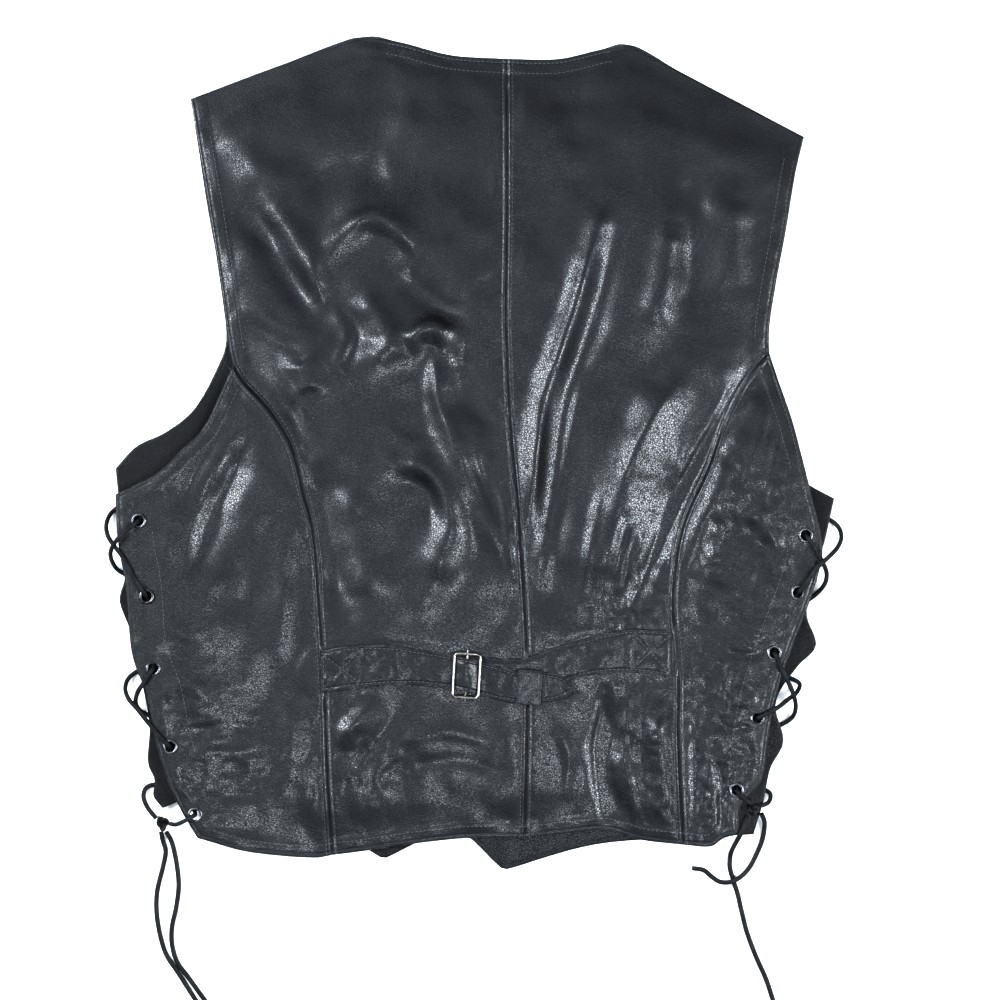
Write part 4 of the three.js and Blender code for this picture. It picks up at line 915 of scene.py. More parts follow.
def leather_material(name):
    """Black grain leather, with shade painted into its grain creases and stitch rows; 'edge' is 1 at a cut or
    turned edge and brings rub marks that are wear and a painted highlight, 'row' is 1 in a row of stitches.
    """
    if f"{name}_grain" in bpy.data.materials:
        return bpy.data.materials[f"{name}_grain"]
    dark, light, rough_low, rough_high, pebble, depth, rub, shine = LEATHERS[name]
    material, tree, shader, place = new_material(f"{name}_grain")
    link = tree.links.new
    grain = put(tree, "ShaderNodeGroup", {"node_tree": grain_group()})
    grain.inputs["Pebble Size"].default_value = pebble
    link(place, grain.inputs["Vector"])
    wear = put(tree, "ShaderNodeGroup", {"node_tree": wear_and_highlight_group()})
    wear.inputs["Amount"].default_value = rub
    link(place, wear.inputs["Vector"])
    edge = put(tree, "ShaderNodeAttribute", {"attribute_name": "edge"})
    link(edge.outputs["Fac"], wear.inputs["Edge"])
    row = put(tree, "ShaderNodeAttribute", {"attribute_name": "row"})
    # Shade painted into grain creases and stitch rows, which are also dulled
    hidden = math_node(tree, "MAXIMUM", grain.outputs["Crease"], row.outputs["Fac"])
    # Rub marks near edges: wear, and a painted highlight along the edge
    rub_and_highlight_mix = put(tree, "ShaderNodeMix", {"data_type": "RGBA"})
    rub_and_highlight_mix.inputs["B"].default_value = RUB_AND_HIGHLIGHT_COLOUR
    link(wear.outputs["Mask"], rub_and_highlight_mix.inputs["Factor"])
    link(shaded(tree, light, dark, hidden), rub_and_highlight_mix.inputs["A"])
    link(rub_and_highlight_mix.outputs["Result"], shader.inputs["Base Color"])
    rough = put(tree, "ShaderNodeMapRange", To_Min=rough_low, To_Max=rough_high)
    link(grain.outputs["Patch"], rough.inputs["Value"])
    dulled = put(tree, "ShaderNodeMapRange", To_Min=0.0, To_Max=DULLED)
    link(hidden, dulled.inputs["Value"])
    link(math_node(tree, "ADD", rough.outputs[0], dulled.outputs[0]), shader.inputs["Roughness"])
    polish = put(tree, "ShaderNodeMapRange", To_Min=shine, To_Max=0.0)
    link(hidden, polish.inputs["Value"])
    link(polish.outputs[0], shader.inputs["Coat Weight"])
    shader.inputs["Coat Roughness"].default_value = COAT_ROUGH
    shader.inputs["Specular IOR Level"].default_value = BASE_SHINE + SHINE_GAIN * shine
    bump = put(tree, "ShaderNodeBump", Strength=1.0, Distance=depth * MM)
    link(grain.outputs["Height"], bump.inputs["Height"])
    link(bump.outputs[0], shader.inputs["Normal"])
    return material


def lining_material():
    """Black woven lining with a faint satin sheen."""
    if "lining_cloth" in bpy.data.materials:
        return bpy.data.materials["lining_cloth"]
    material, tree, shader, place = new_material("lining_cloth")
    link = tree.links.new
    shader.inputs["Sheen Weight"].default_value = 0.05
    warp = put(tree, "ShaderNodeTexWave", {"bands_direction": "X"}, Scale=900.0, Distortion=0.6)
    weft = put(tree, "ShaderNodeTexWave", {"bands_direction": "Y"}, Scale=900.0, Distortion=0.6)
    link(place, warp.inputs["Vector"])
    link(place, weft.inputs["Vector"])
    weave = math_node(tree, "MULTIPLY", warp.outputs["Fac"], weft.outputs["Fac"])
    link(shaded(tree, (0.004, 0.004, 0.005), (0.012, 0.012, 0.014), weave), shader.inputs["Base Color"])
    shader.inputs["Roughness"].default_value = 0.55
    shader.inputs["Specular IOR Level"].default_value = 0.2
    bump = put(tree, "ShaderNodeBump", Strength=0.4, Distance=0.1 * MM)
    link(weave, bump.inputs["Height"])
    link(bump.outputs[0], shader.inputs["Normal"])
    return material


METALS = {
    # name: colour, worn colour, rough low, rough high
    "buckle_metal": ((0.2, 0.19, 0.17), (0.36, 0.34, 0.31), 0.24, 0.4),
    "eyelet_metal": ((0.05, 0.051, 0.054), (0.16, 0.16, 0.165), 0.24, 0.4),
}


def metal_material(name):
    """Plated metal with brushed scratches and worn patches."""
    if f"{name}_plate" in bpy.data.materials:
        return bpy.data.materials[f"{name}_plate"]
    colour, worn, rough_low, rough_high = METALS[name]
    material, tree, shader, place = new_material(f"{name}_plate")
    link = tree.links.new
    shader.inputs["Metallic"].default_value = 1.0
    spots = put(tree, "ShaderNodeTexNoise", Scale=420.0, Detail=5.0, Roughness=0.65)
    link(place, spots.inputs["Vector"])
    mask = put(tree, "ShaderNodeMapRange", From_Min=0.42, From_Max=0.66)
    link(spots.outputs["Fac"], mask.inputs["Value"])
    link(shaded(tree, colour, worn, mask.outputs[0]), shader.inputs["Base Color"])
    rough = put(tree, "ShaderNodeMapRange", To_Min=rough_low, To_Max=rough_high)
    link(spots.outputs["Fac"], rough.inputs["Value"])
    link(rough.outputs[0], shader.inputs["Roughness"])
    bump = put(tree, "ShaderNodeBump", Strength=0.3, Distance=0.01 * MM)
    link(spots.outputs["Fac"], bump.inputs["Height"])
    link(bump.outputs[0], shader.inputs["Normal"])
    return material


def thread_material():
    """Black polyester thread whose sheen is painted in as a grey colour."""
    if "thread" in bpy.data.materials:
        return bpy.data.materials["thread"]
    material, tree, shader, place = new_material("thread")
    twist = put(tree, "ShaderNodeTexNoise", Scale=1800.0, Detail=2.0)
    tree.links.new(place, twist.inputs["Vector"])
    # Grey colour that paints in the thread's sheen, varied along the twist
    colour = shaded(tree, (0.03, 0.031, 0.034), (0.11, 0.113, 0.12), twist.outputs["Fac"])
    tree.links.new(colour, shader.inputs["Base Color"])
    shader.inputs["Roughness"].default_value = 0.5
    return material


def floor_material():
    """Plain pale paper."""
    material, tree, shader, place = new_material("pale_floor")
    tone = put(tree, "ShaderNodeTexNoise", Scale=3.0, Detail=2.0)
    tree.links.new(place, tone.inputs["Vector"])
    colour = shaded(tree, (0.86, 0.86, 0.86), (0.9, 0.9, 0.9), tone.outputs["Fac"])
    tree.links.new(colour, shader.inputs["Base Color"])
    shader.inputs["Roughness"].default_value = 0.9
    return material


# Meshes

def clear_selection():
    if bpy.context.object and bpy.context.object.mode != "OBJECT":
        bpy.ops.object.mode_set(mode="OBJECT")
    bpy.ops.object.select_all(action="DESELECT")


def make_active(piece):
    clear_selection()
    piece.select_set(True)
    bpy.context.view_layer.objects.active = piece


def mesh_piece(name, points_mm, faces, material):
    """A new object from points in millimetres."""
    mesh = bpy.data.meshes.new(name)
    mesh.from_pydata((np.asarray(points_mm) * MM).tolist(), [], faces)
    mesh.materials.append(material)
    piece = bpy.data.objects.new(name, mesh)
    bpy.context.collection.objects.link(piece)
    return piece


def grid_faces(rows, columns):
    at = np.arange(rows * columns).reshape(rows, columns)
    quads = np.stack([at[:-1, :-1], at[:-1, 1:], at[1:, 1:], at[1:, :-1]], axis=-1)
    return quads.reshape(-1, 4).tolist()


def point_values(piece, name, values):
    """A number for each point, read by the materials."""
    layer = piece.data.attributes.new(name, "FLOAT", "POINT")
    layer.data.foreach_set("value", np.asarray(values, dtype=np.float32).ravel())


def finish_piece(piece, slot, *nodes, angle=50):
    make_active(piece)
    bpy.ops.object.shade_smooth_by_angle(angle=math.radians(angle))
    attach(piece, "root")
    if nodes:
        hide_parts(*nodes)


def cloth_piece(name, grid, top_heights, thickness, material, edge_values, row_shade_values=None):
    """A wall of cloth whose outer face is the grid at the given heights."""
    rows, columns = grid.shape[:2]
    points = np.dstack([grid, top_heights]).reshape(-1, 3)
    piece = mesh_piece(name, points, grid_faces(rows, columns), material)
    point_values(piece, "edge", edge_values)
    if row_shade_values is not None:
        point_values(piece, "row", row_shade_values)
    make_active(piece)
    wall = piece.modifiers.new("wall", "SOLIDIFY")
    wall.thickness = thickness * MM
    wall.offset = -1
    wall.use_even_offset = False
    bpy.ops.object.modifier_apply(modifier="wall")
    return piece


# Share of the back's height that its seams take, up to the armholes, as in the solids
SEAM_SHARE = 20 / 32
FRONT_EDGE_SHARE = 0.5

# Lengths by which the meshes are spaced: the seams, the armholes, and across each panel
SEAM_LENGTH = 385
ARMHOLE_LENGTH = 206
CENTRE_WIDTH = 215
SIDE_WIDTH = 110
FRONT_EDGE_LENGTH = 290
FRONT_ARMHOLE_LENGTH = 300
FRONT_WIDTH = 260


def joined_shares(low, high, share):
    """The shares of two lengths that follow on each other, as shares of both."""
    return np.concatenate([low * share, (share + high * (1 - share))[1:]])


def back_grids(step):
    """Grids of places for the four panels of the back."""
    low = crowded(SEAM_LENGTH, step, True, False)
    high = crowded(ARMHOLE_LENGTH, step, False, True)
    vs = joined_shares(low, high, SEAM_SHARE)
    centre = rail([CENTRE_SEAM_LOWER, CENTRE_SEAM_UPPER], [low, high])
    left = rail([PRINCESS_LEFT, ARMHOLE_LEFT_UPPER], [low, high])
    right = rail([PRINCESS_RIGHT, ARMHOLE_RIGHT_UPPER], [low, high])
    us = crowded(CENTRE_WIDTH, step)
    side = crowded(SEAM_LENGTH, step)
    across = crowded(SIDE_WIDTH, step)
    return {
        "back_centre_left": patch(
            left, centre, at_shares(HEM_CENTRE_LEFT, us), at_shares(SHOULDER_NECK_LEFT, us), us, vs),
        "back_centre_right": patch(
            centre, right, at_shares(HEM_CENTRE_RIGHT, us), at_shares(SHOULDER_NECK_RIGHT, us), us, vs),
        "back_side_left": patch(
            at_shares(LACED_EDGE_LEFT, side), at_shares(PRINCESS_LEFT, side),
            at_shares(HEM_SIDE_LEFT, across), at_shares(ARMHOLE_LEFT_LOWER, across), across, side),
        "back_side_right": patch(
            at_shares(PRINCESS_RIGHT, side), at_shares(LACED_EDGE_RIGHT, side),
            at_shares(HEM_SIDE_RIGHT, across), at_shares(ARMHOLE_RIGHT_LOWER, across), across, side),
    }


def front_shares(step):
    """Shares of a front's edge and armhole, of both together, and across it, where its grid has points."""
    low = crowded(FRONT_EDGE_LENGTH, step, True, False)
    high = crowded(FRONT_ARMHOLE_LENGTH, step, False, True)
    return (low, high), joined_shares(low, high, FRONT_EDGE_SHARE), crowded(FRONT_WIDTH, step)


def front_grids(step):
    """Grids of places for the two fronts."""
    half, vs, us = front_shares(step)
    left = patch(
        rail([FRONT_LEFT_EDGE, FRONT_LEFT_ARMHOLE], half), at_shares(FRONT_LEFT_CLOSING, vs),
        at_shares(FRONT_LEFT_HEM, us), at_shares(FRONT_LEFT_SHOULDER, us), us, vs)
    right = patch(
        at_shares(FRONT_RIGHT_CLOSING, vs), rail([FRONT_RIGHT_EDGE, FRONT_RIGHT_ARMHOLE], half),
        at_shares(FRONT_RIGHT_HEM, us), at_shares(FRONT_RIGHT_SHOULDER, us), us, vs)
    return {"front_left": left, "front_right": right}


# The fronts lie mostly hidden: coarser steps, a rolled edge and one shallow row; wear and a painted highlight
# at every edge
FRONT_STEPS = 1.8
FRONT_ROLL = 0.3
FRONT_ROLL_REACH = 1.6
FRONT_GROOVE = 0.12
GROOVE_HALF = 0.8
WEAR_AND_HIGHLIGHT_REACH = 0.8


def wear_and_highlight_edge(distance):
    """1 at an edge, dying away from it, for the wear of the leather and its painted edge highlight."""
    return np.exp(-distance / WEAR_AND_HIGHLIGHT_REACH)


def punch(piece, places, height):
    """Cuts the eyelet holes through a laid panel."""
    for x, y in places:
        clear_selection()
        bpy.ops.mesh.primitive_cylinder_add(
            vertices=20, radius=HOLE_RADIUS * MM, depth=HOLE_DEPTH * MM,
            location=(x * MM, y * MM, height * MM))
        drill = bpy.context.object
        make_active(piece)
        hole = piece.modifiers.new("hole", "BOOLEAN")
        hole.object = drill
        hole.operation = "DIFFERENCE"
        hole.solver = "EXACT"
        bpy.ops.object.modifier_apply(modifier="hole")
        bpy.data.objects.remove(drill, do_unlink=True)


def set_down(piece, place, lift, ripple=0.0):
    """Turns a piece about the vertical and moves it to its place on the belt, with a slight ripple."""
    turn = place["turn"]
    for vertex in piece.data.vertices:
        x, y, z = vertex.co
        z += ripple * math.sin(x * 700) * math.sin(y * 500)
        vertex.co = (
            place["x"] * MM + x * math.cos(turn) - y * math.sin(turn),
            place["y"] * MM + x * math.sin(turn) + y * math.cos(turn), z + lift * MM)


# Stitches: the share of the pitch that a stitch shows, and how far it stands out of its row
STITCH_SHARE = 0.62
STITCH_LIFT = 0.12
STITCH_ENDS = {"from": 0.4, "narrow": 0.45, "dip": 0.3}
DIRECTION_REACH = 0.6


def stitch_shape(length, thick):
    """One stitch: a rod with narrowed ends, shaped from a cylinder."""
    clear_selection()
    bpy.ops.mesh.primitive_cylinder_add(vertices=6, radius=thick / 2, depth=length, location=(0, 0, 0))
    rod = bpy.context.object
    bpy.ops.object.mode_set(mode="EDIT")
    bpy.ops.mesh.select_all(action="SELECT")
    bpy.ops.transform.rotate(value=math.pi / 2, orient_axis="Y", center_override=(0, 0, 0))
    bpy.ops.object.mode_set(mode="OBJECT")
    points = np.array([v.co[:] for v in rod.data.vertices])
    faces = [list(p.vertices) for p in rod.data.polygons]
    ends = np.abs(points[:, 0]) > length * STITCH_ENDS["from"]
    points[ends, 1:] *= STITCH_ENDS["narrow"]
    points[ends, 2] -= thick * STITCH_ENDS["dip"]
    bpy.data.objects.remove(rod, do_unlink=True)
    return points, faces


def stitch_line(line, pitch):
    """Places and directions of stitches along a line of x, y."""
    run = lengths_along(line)
    count = max(1, int(run[-1] / pitch))
    centres = (np.arange(count) + 0.5) * run[-1] / count
    behind, at, ahead = [
        np.column_stack([np.interp(centres + shift, run, line[:, k]) for k in range(2)])
        for shift in (-DIRECTION_REACH, 0, DIRECTION_REACH)]
    way = ahead - behind
    return at, way / np.linalg.norm(way, axis=1)[:, None]


def sew(name, lines, surface, sizes):
    """All the stitches of some lines, laid on a surface, as one object."""
    pitch, thick = sizes.stitch_pitch / MM, sizes.stitch_thick / MM
    length = pitch * STITCH_SHARE
    shape, faces = stitch_shape(length, thick)
    all_points, all_faces = [], []
    for line in lines:
        at, way = stitch_line(np.asarray(line, float), pitch)
        half = length / 2
        z0 = surface(at[:, 0] - way[:, 0] * half, at[:, 1] - way[:, 1] * half)
        z1 = surface(at[:, 0] + way[:, 0] * half, at[:, 1] + way[:, 1] * half)
        middle = np.maximum(surface(at[:, 0], at[:, 1]), (z0 + z1) / 2)
        for (x, y), (dx, dy), low, high, z in zip(at, way, z0, z1, middle):
            slope = (high - low) / length
            px = x + shape[:, 0] * dx - shape[:, 1] * dy
            py = y + shape[:, 0] * dy + shape[:, 1] * dx
            pz = z + thick / 2 + STITCH_LIFT + shape[:, 2] + shape[:, 0] * slope
            start = len(all_points) * len(shape)
            all_points.append(np.column_stack([px, py, pz]))
            all_faces.extend([[start + i for i in face] for face in faces])
    piece = mesh_piece(name, np.vstack(all_points), all_faces, thread_material())
    finish_piece(piece, "lace_leather")


# Laces: from which slope the broad side turns level, how fast, and the sides of the section
LEVEL_FROM = 0.05
LEVEL_PULL = 0.35
LACE_SIDES = 10
# Rub marks all over the laces: wear, and a painted highlight
LACE_WEAR_AND_HIGHLIGHT = 0.4
SQUEEZE_WIDE = 0.94
SQUEEZE_THICK = 0.95
KNOT_SQUEEZE = 0.95
KNOT_INSET = 0.42
KNOT_POINTS = 60


def tube_points(route, width, thick):
    """Rings of an oval lace that keeps its broad side level where it can."""
    ahead = np.gradient(route, axis=0)
    ahead /= np.linalg.norm(ahead, axis=1)[:, None]
    side = np.array([1.0, 0.0, 0.0])
    rings = []
    for point, way in zip(route, ahead):
        level = np.cross((0, 0, 1.0), way)
        side = side - way * side.dot(way)
        side /= np.linalg.norm(side)
        strength = np.linalg.norm(level)
        if strength > LEVEL_FROM:
            level /= strength
            if level.dot(side) < 0:
                level = -level
            pull = LEVEL_PULL * strength
            side = side * (1 - pull) + level * pull
            side /= np.linalg.norm(side)
        over = np.cross(way, side)
        angles = 2 * np.pi * np.arange(LACE_SIDES) / LACE_SIDES
        broad = np.outer(np.cos(angles) * width / 2, side)
        rings.append(point + broad + np.outer(np.sin(angles) * thick / 2, over))
    return np.array(rings)


def tube_faces(rings, sides, closed):
    faces = []
    last = rings if closed else rings - 1
    for i in range(last):
        for k in range(sides):
            a, b = i * sides + k, i * sides + (k + 1) % sides
            c, d = (i + 1) % rings * sides + (k + 1) % sides, (i + 1) % rings * sides + k
            faces.append([a, b, c, d])
    if not closed:
        faces.append(list(range(sides))[::-1])
        faces.append([(rings - 1) * sides + k for k in range(sides)])
    return faces


def lace_piece(name, route, width, thick, node, closed=False):
    """A lace along a route, which stands for a node of the solids."""
    points = tube_points(route, width, thick).reshape(-1, 3)
    piece = mesh_piece(
        name, points, tube_faces(len(route), LACE_SIDES, closed), leather_material("lace_leather"))
    point_values(piece, "edge", np.full(len(points), LACE_WEAR_AND_HIGHLIGHT))
    finish_piece(piece, "lace_leather", node)
    return piece


# User settings

class VestSizes(bpy.types.PropertyGroup):
    """Sizes that a maker would change."""
    mesh_step: bpy.props.FloatProperty(
        name="Mesh Step", description="Distance between points of the cloth, in millimetres",
        default=2.6, min=1.5, max=12)
    lace_width: bpy.props.FloatProperty(
        name="Lace Width", description="Width of the flat lace", default=3.7 * MM, unit="LENGTH")
    lace_thick: bpy.props.FloatProperty(
        name="Lace Thickness", description="Thickness of the flat lace", default=2.3 * MM, unit="LENGTH")
    stitch_pitch: bpy.props.FloatProperty(
        name="Stitch Pitch", description="Distance from one stitch to the next",
        default=3.3 * MM, unit="LENGTH")
    stitch_thick: bpy.props.FloatProperty(
        name="Thread", description="Thickness of the sewing thread", default=0.9 * MM, unit="LENGTH")


class VestLight(bpy.types.PropertyGroup):
    """Brightness and colour of the studio."""
    main_power: bpy.props.FloatProperty(
        name="Overhead Softbox", description="Power of the softbox over the vest", default=18, unit="POWER")
    key_power: bpy.props.FloatProperty(
        name="Key Softbox", description="Power of the softbox beyond the left shoulder",
        default=112, unit="POWER")
    fill_power: bpy.props.FloatProperty(
        name="Fill Softbox", description="Power of the softbox on the right", default=76, unit="POWER")
    side_power: bpy.props.FloatProperty(
        name="Side Softboxes", description="Power of each low softbox around the floor",
        default=8, unit="POWER")
    room: bpy.props.FloatVectorProperty(
        name="Room", description="Colour of the room around the floor", subtype="COLOR",
        default=(0.92, 0.95, 1.0))


# Operators

class VEST_OT_stage(bpy.types.Operator):
    """Make the floor, the soft lights and the camera"""
    bl_idname = "vest.stage"
    bl_label = "Studio"

    def execute(self, context):
        light = context.scene.vest_light
        clear_selection()
        bpy.ops.mesh.primitive_plane_add(size=FLOOR_SIZE, location=(0, 0, 0))
        floor = context.object
        floor.name = "floor"
        floor.data.materials.append(floor_material())
        for name, setting, size, place in SOFTBOXES:
            self.softbox(f"{name}_softbox", getattr(light, setting), size, place)
        world = context.scene.world or bpy.data.worlds.new("room")
        context.scene.world = world
        world.use_nodes = True
        backdrop = world.node_tree.nodes["Background"]
        backdrop.inputs["Color"].default_value = (*light.room, 1)
        backdrop.inputs["Strength"].default_value = ROOM_STRENGTH
        bpy.ops.object.camera_add(
            location=(VIEW_CENTRE[0] * MM, VIEW_CENTRE[1] * MM, CAMERA_HEIGHT * MM), rotation=(0, 0, 0))
        camera = context.object
        camera.data.lens = CAMERA_LENS
        camera.data.sensor_width = SENSOR_WIDTH
        context.scene.camera = camera
        context.scene.view_settings.view_transform = "Standard"
        context.scene.view_settings.look = "High Contrast"
        return {"FINISHED"}

    def softbox(self, name, power, size, place):
        bpy.ops.object.light_add(type="AREA", location=place)
        lamp = bpy.context.object
        lamp.name = name
        lamp.data.shape = "RECTANGLE"
        lamp.data.size, lamp.data.size_y = size
        lamp.data.energy = power
        lamp.data.color = LAMP_COLOUR
        lamp.rotation_euler = (-Vector(place)).to_track_quat("-Z", "Y").to_euler()


class VEST_OT_laces(bpy.types.Operator):
    """Make the side laces, their knots and their free ends"""
    bl_idname = "vest.laces"
    bl_label = "Laces"

    def execute(self, context):
        sizes = context.scene.vest_sizes
        width, thick = sizes.lace_width / MM, sizes.lace_thick / MM
        sides = {
            "left": (LACE_LEFT, KNOT_LEFT, {"a": LEFT_END_A, "b": LEFT_END_B}),
            "right": (LACE_RIGHT, KNOT_RIGHT, {"a": RIGHT_END_A, "b": RIGHT_END_B}),
        }
        for side, (route, tied, ends) in sides.items():
            self.laced(side, route, width, thick)
            for letter, end in ends.items():
                self.free_end(side, letter, end, width, thick)
            self.knot(side, tied, width, thick)
        return {"FINISHED"}

    def declare(self, piece, line, width, far_end, lay):
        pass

    def laced(self, side, route, width, thick):
        line = curve_through(route, 4)
        piece = lace_piece(
            f"laced_{side}", line, width * SQUEEZE_WIDE, thick * SQUEEZE_THICK, f"lace_{side}")
        self.declare(piece, line, width, "object", "taut")

    def free_end(self, side, letter, route, width, thick):
        line = curve_through(route, 6)
        piece = lace_piece(f"lace_end_{side}_{letter}", line, width, thick, f"lace_{side}_end_{letter}")
        self.declare(piece, line, width, "bare", "loose")

    def knot(self, side, tied, width, thick):
        """An overhand knot: one closed turn of the lace in three lobes."""
        turns = np.linspace(0, 2 * np.pi, KNOT_POINTS, endpoint=False)
        shape = np.column_stack([
            np.sin(turns) + 2 * np.sin(2 * turns), np.cos(turns) - 2 * np.cos(2 * turns), -np.sin(3 * turns)])
        shape /= np.abs(shape).max(axis=0)
        half = np.array(tied["half"]) - np.array([width, width, thick]) * KNOT_INSET
        line = np.array(tied["centre"]) + shape * half
        lace_piece(f"knot_{side}", line, width * KNOT_SQUEEZE, thick, f"lace_{side}_knot", closed=True)


class VEST_OT_back(bpy.types.Operator):
    """Make the four panels of the back with their folds"""
    bl_idname = "vest.back"
    bl_label = "Back"

    def execute(self, context):
        step = context.scene.vest_sizes.mesh_step
        holes = {"back_side_left": BACK_EYELETS_LEFT, "back_side_right": BACK_EYELETS_RIGHT}
        for name, grid in back_grids(step).items():
            x, y = grid[..., 0], grid[..., 1]
            piece = cloth_piece(
                f"{name}_leather", grid, back_top(x, y), LEATHER, leather_material("back_leather"),
                wear_and_highlight_edge(nearest_of(x, y, TURNED_EDGES)), stitch_row_shade(x, y))
            punch(piece, holes.get(name, []), BACK_STRIP)
            finish_piece(piece, "back_leather", name)
        return {"FINISHED"}


class VEST_OT_fronts(bpy.types.Operator):
    """Make the two fronts and their lining"""
    bl_idname = "vest.fronts"
    bl_label = "Fronts"

    def execute(self, context):
        step = context.scene.vest_sizes.mesh_step * FRONT_STEPS
        heights = {"front_left": front_lift, "front_right": front_right_height}
        holes = {"front_left": FRONT_EYELETS_LEFT, "front_right": FRONT_EYELETS_RIGHT}
        outlines = {
            "front_left": [FRONT_LEFT_EDGE, FRONT_LEFT_ARMHOLE, FRONT_LEFT_HEM, FRONT_LEFT_CLOSING],
            "front_right": [FRONT_RIGHT_EDGE, FRONT_RIGHT_ARMHOLE, FRONT_RIGHT_HEM, FRONT_RIGHT_CLOSING],
        }
        for name, grid in front_grids(step).items():
            x, y = grid[..., 0], grid[..., 1]
            border = nearest_of(x, y, outlines[name])
            rolled = FRONT_ROLL * rounding(border, FRONT_ROLL_REACH)
            rolled += FRONT_GROOVE * bell(border, EDGE_STITCH, GROOVE_HALF)
            piece = cloth_piece(
                f"{name}_leather", grid, heights[name](x, y) + LEATHER - rolled, FRONT_WALL,
                leather_material("front_leather"), wear_and_highlight_edge(border))
            punch(piece, holes[name], FRONT_STRIP)
            finish_piece(piece, "front_leather", name)
            self.lining(name, grid, step, heights[name])
        return {"FINISHED"}

    def lining(self, name, grid, step, height):
        vs, us = front_shares(step)[1:]
        first, last = LINING_COVERS[name]
        inner = grid[(vs >= LINING_ENDS) & (vs <= 1 - LINING_ENDS)][:, (us >= first) & (us <= last)]
        x, y = inner[..., 0], inner[..., 1]
        ripple = 0.25 * value_noise(x, y, 12, 21)
        ripple += 0.2 * value_noise(x + y, y - x, 9, 22)
        side = name.split("_")[1]
        piece = cloth_piece(
            f"lining_{side}_cloth", inner, height(x, y) + LINING_REST + LINING + ripple, LINING_WALL,
            lining_material(), np.zeros(x.shape))
        finish_piece(piece, "lining", f"lining_{side}")


class VEST_OT_stitching(bpy.types.Operator):
    """Sew the seams and the turned edges of the back"""
    bl_idname = "vest.stitching"
    bl_label = "Stitching"

    def execute(self, context):
        sizes = context.scene.vest_sizes
        seams = []
        for seam in (PRINCESS_LEFT, PRINCESS_RIGHT, CENTRE_SEAM_LOWER[:-1] + CENTRE_SEAM_UPPER):
            line = curve_through(seam)
            seams += [inset(line, SEAM_STITCH), inset(line, -SEAM_STITCH)]
        sew("seam_stitches", seams, back_top, sizes)
        edges = []
        for edge, side in (
                (NECK_LINE, -1), (ARMHOLE_LEFT_UPPER, -1), (ARMHOLE_LEFT_LOWER, -1),
                (ARMHOLE_RIGHT_UPPER, 1), (ARMHOLE_RIGHT_LOWER[::-1], 1)):
            line = curve_through(edge)[8:-8]
            edges += [inset(line, side * EDGE_STITCH), inset(line, side * TURN_STITCH)]
        hem = HEM_SIDE_LEFT[:-1] + HEM_CENTRE_LEFT[:-1] + HEM_CENTRE_RIGHT[:-1] + HEM_SIDE_RIGHT
        edges.append(inset(curve_through(hem)[10:-10], HEM_STITCH))
        edges.append(inset(curve_through(LACED_EDGE_LEFT)[30:-10], -FACING_STITCH))
        edges.append(inset(curve_through(LACED_EDGE_RIGHT)[30:-10], FACING_STITCH))
        sew("edge_stitches", edges, back_top, sizes)
        return {"FINISHED"}


class VEST_OT_eyelets(bpy.types.Operator):
    """Set the twenty eyelets"""
    bl_idname = "vest.eyelets"
    bl_label = "Eyelets"

    def execute(self, context):
        rows = [
            ("back_left", BACK_EYELETS_LEFT, BACK_STRIP),
            ("back_right", BACK_EYELETS_RIGHT, BACK_STRIP),
            ("front_left", FRONT_EYELETS_LEFT, FRONT_STRIP),
            ("front_right", FRONT_EYELETS_RIGHT, FRONT_STRIP),
        ]
        pattern = self.pattern()
        for label, places, strip in rows:
            for i, (x, y) in enumerate(places):
                piece = pattern.copy()
                piece.data = pattern.data.copy()
                piece.name = f"eyelet_{label}_{i + 1}_ring"
                context.collection.objects.link(piece)
                for vertex in piece.data.vertices:
                    vertex.co += Vector((x, y, strip + LEATHER / 2)) * MM
                finish_piece(piece, "eyelet_metal", f"eyelet_{label}_{i + 1}")
        bpy.data.objects.remove(pattern, do_unlink=True)
        return {"FINISHED"}

    def pattern(self):
        """A rolled rim above, a flat rim below and a barrel between them."""
        level = EYELET_HALF - RIM_SINK
        clear_selection()
        self.ring(EYELET_RIM)
        rim = bpy.context.object
        rim.name = "eyelet_pattern"
        bpy.ops.object.mode_set(mode="EDIT")
        bpy.ops.mesh.select_all(action="SELECT")
        self.press(EYELET_RIM, level)
        self.ring(EYELET_FLANGE)
        self.press(EYELET_FLANGE, -level)
        bpy.ops.mesh.primitive_cylinder_add(
            vertices=32, radius=EYELET_BARREL["radius"] * MM, depth=2 * EYELET_HALF * MM,
            end_fill_type="NOTHING", location=(0, 0, 0))
        bpy.ops.mesh.extrude_region_shrink_fatten(
            TRANSFORM_OT_shrink_fatten={"value": EYELET_BARREL["wall"] * MM})
        bpy.ops.object.mode_set(mode="OBJECT")
        rim.data.materials.append(metal_material("eyelet_metal"))
        return rim

    def ring(self, sizes):
        bpy.ops.mesh.primitive_torus_add(
            major_segments=32, minor_segments=sizes["segments"], major_radius=sizes["reach"] * MM,
            minor_radius=sizes["round"] * MM, location=(0, 0, 0))

    def press(self, sizes, level):
        bpy.ops.transform.resize(value=(1, 1, sizes["squash"]), center_override=(0, 0, 0))
        bpy.ops.transform.translate(value=(0, 0, level * MM))


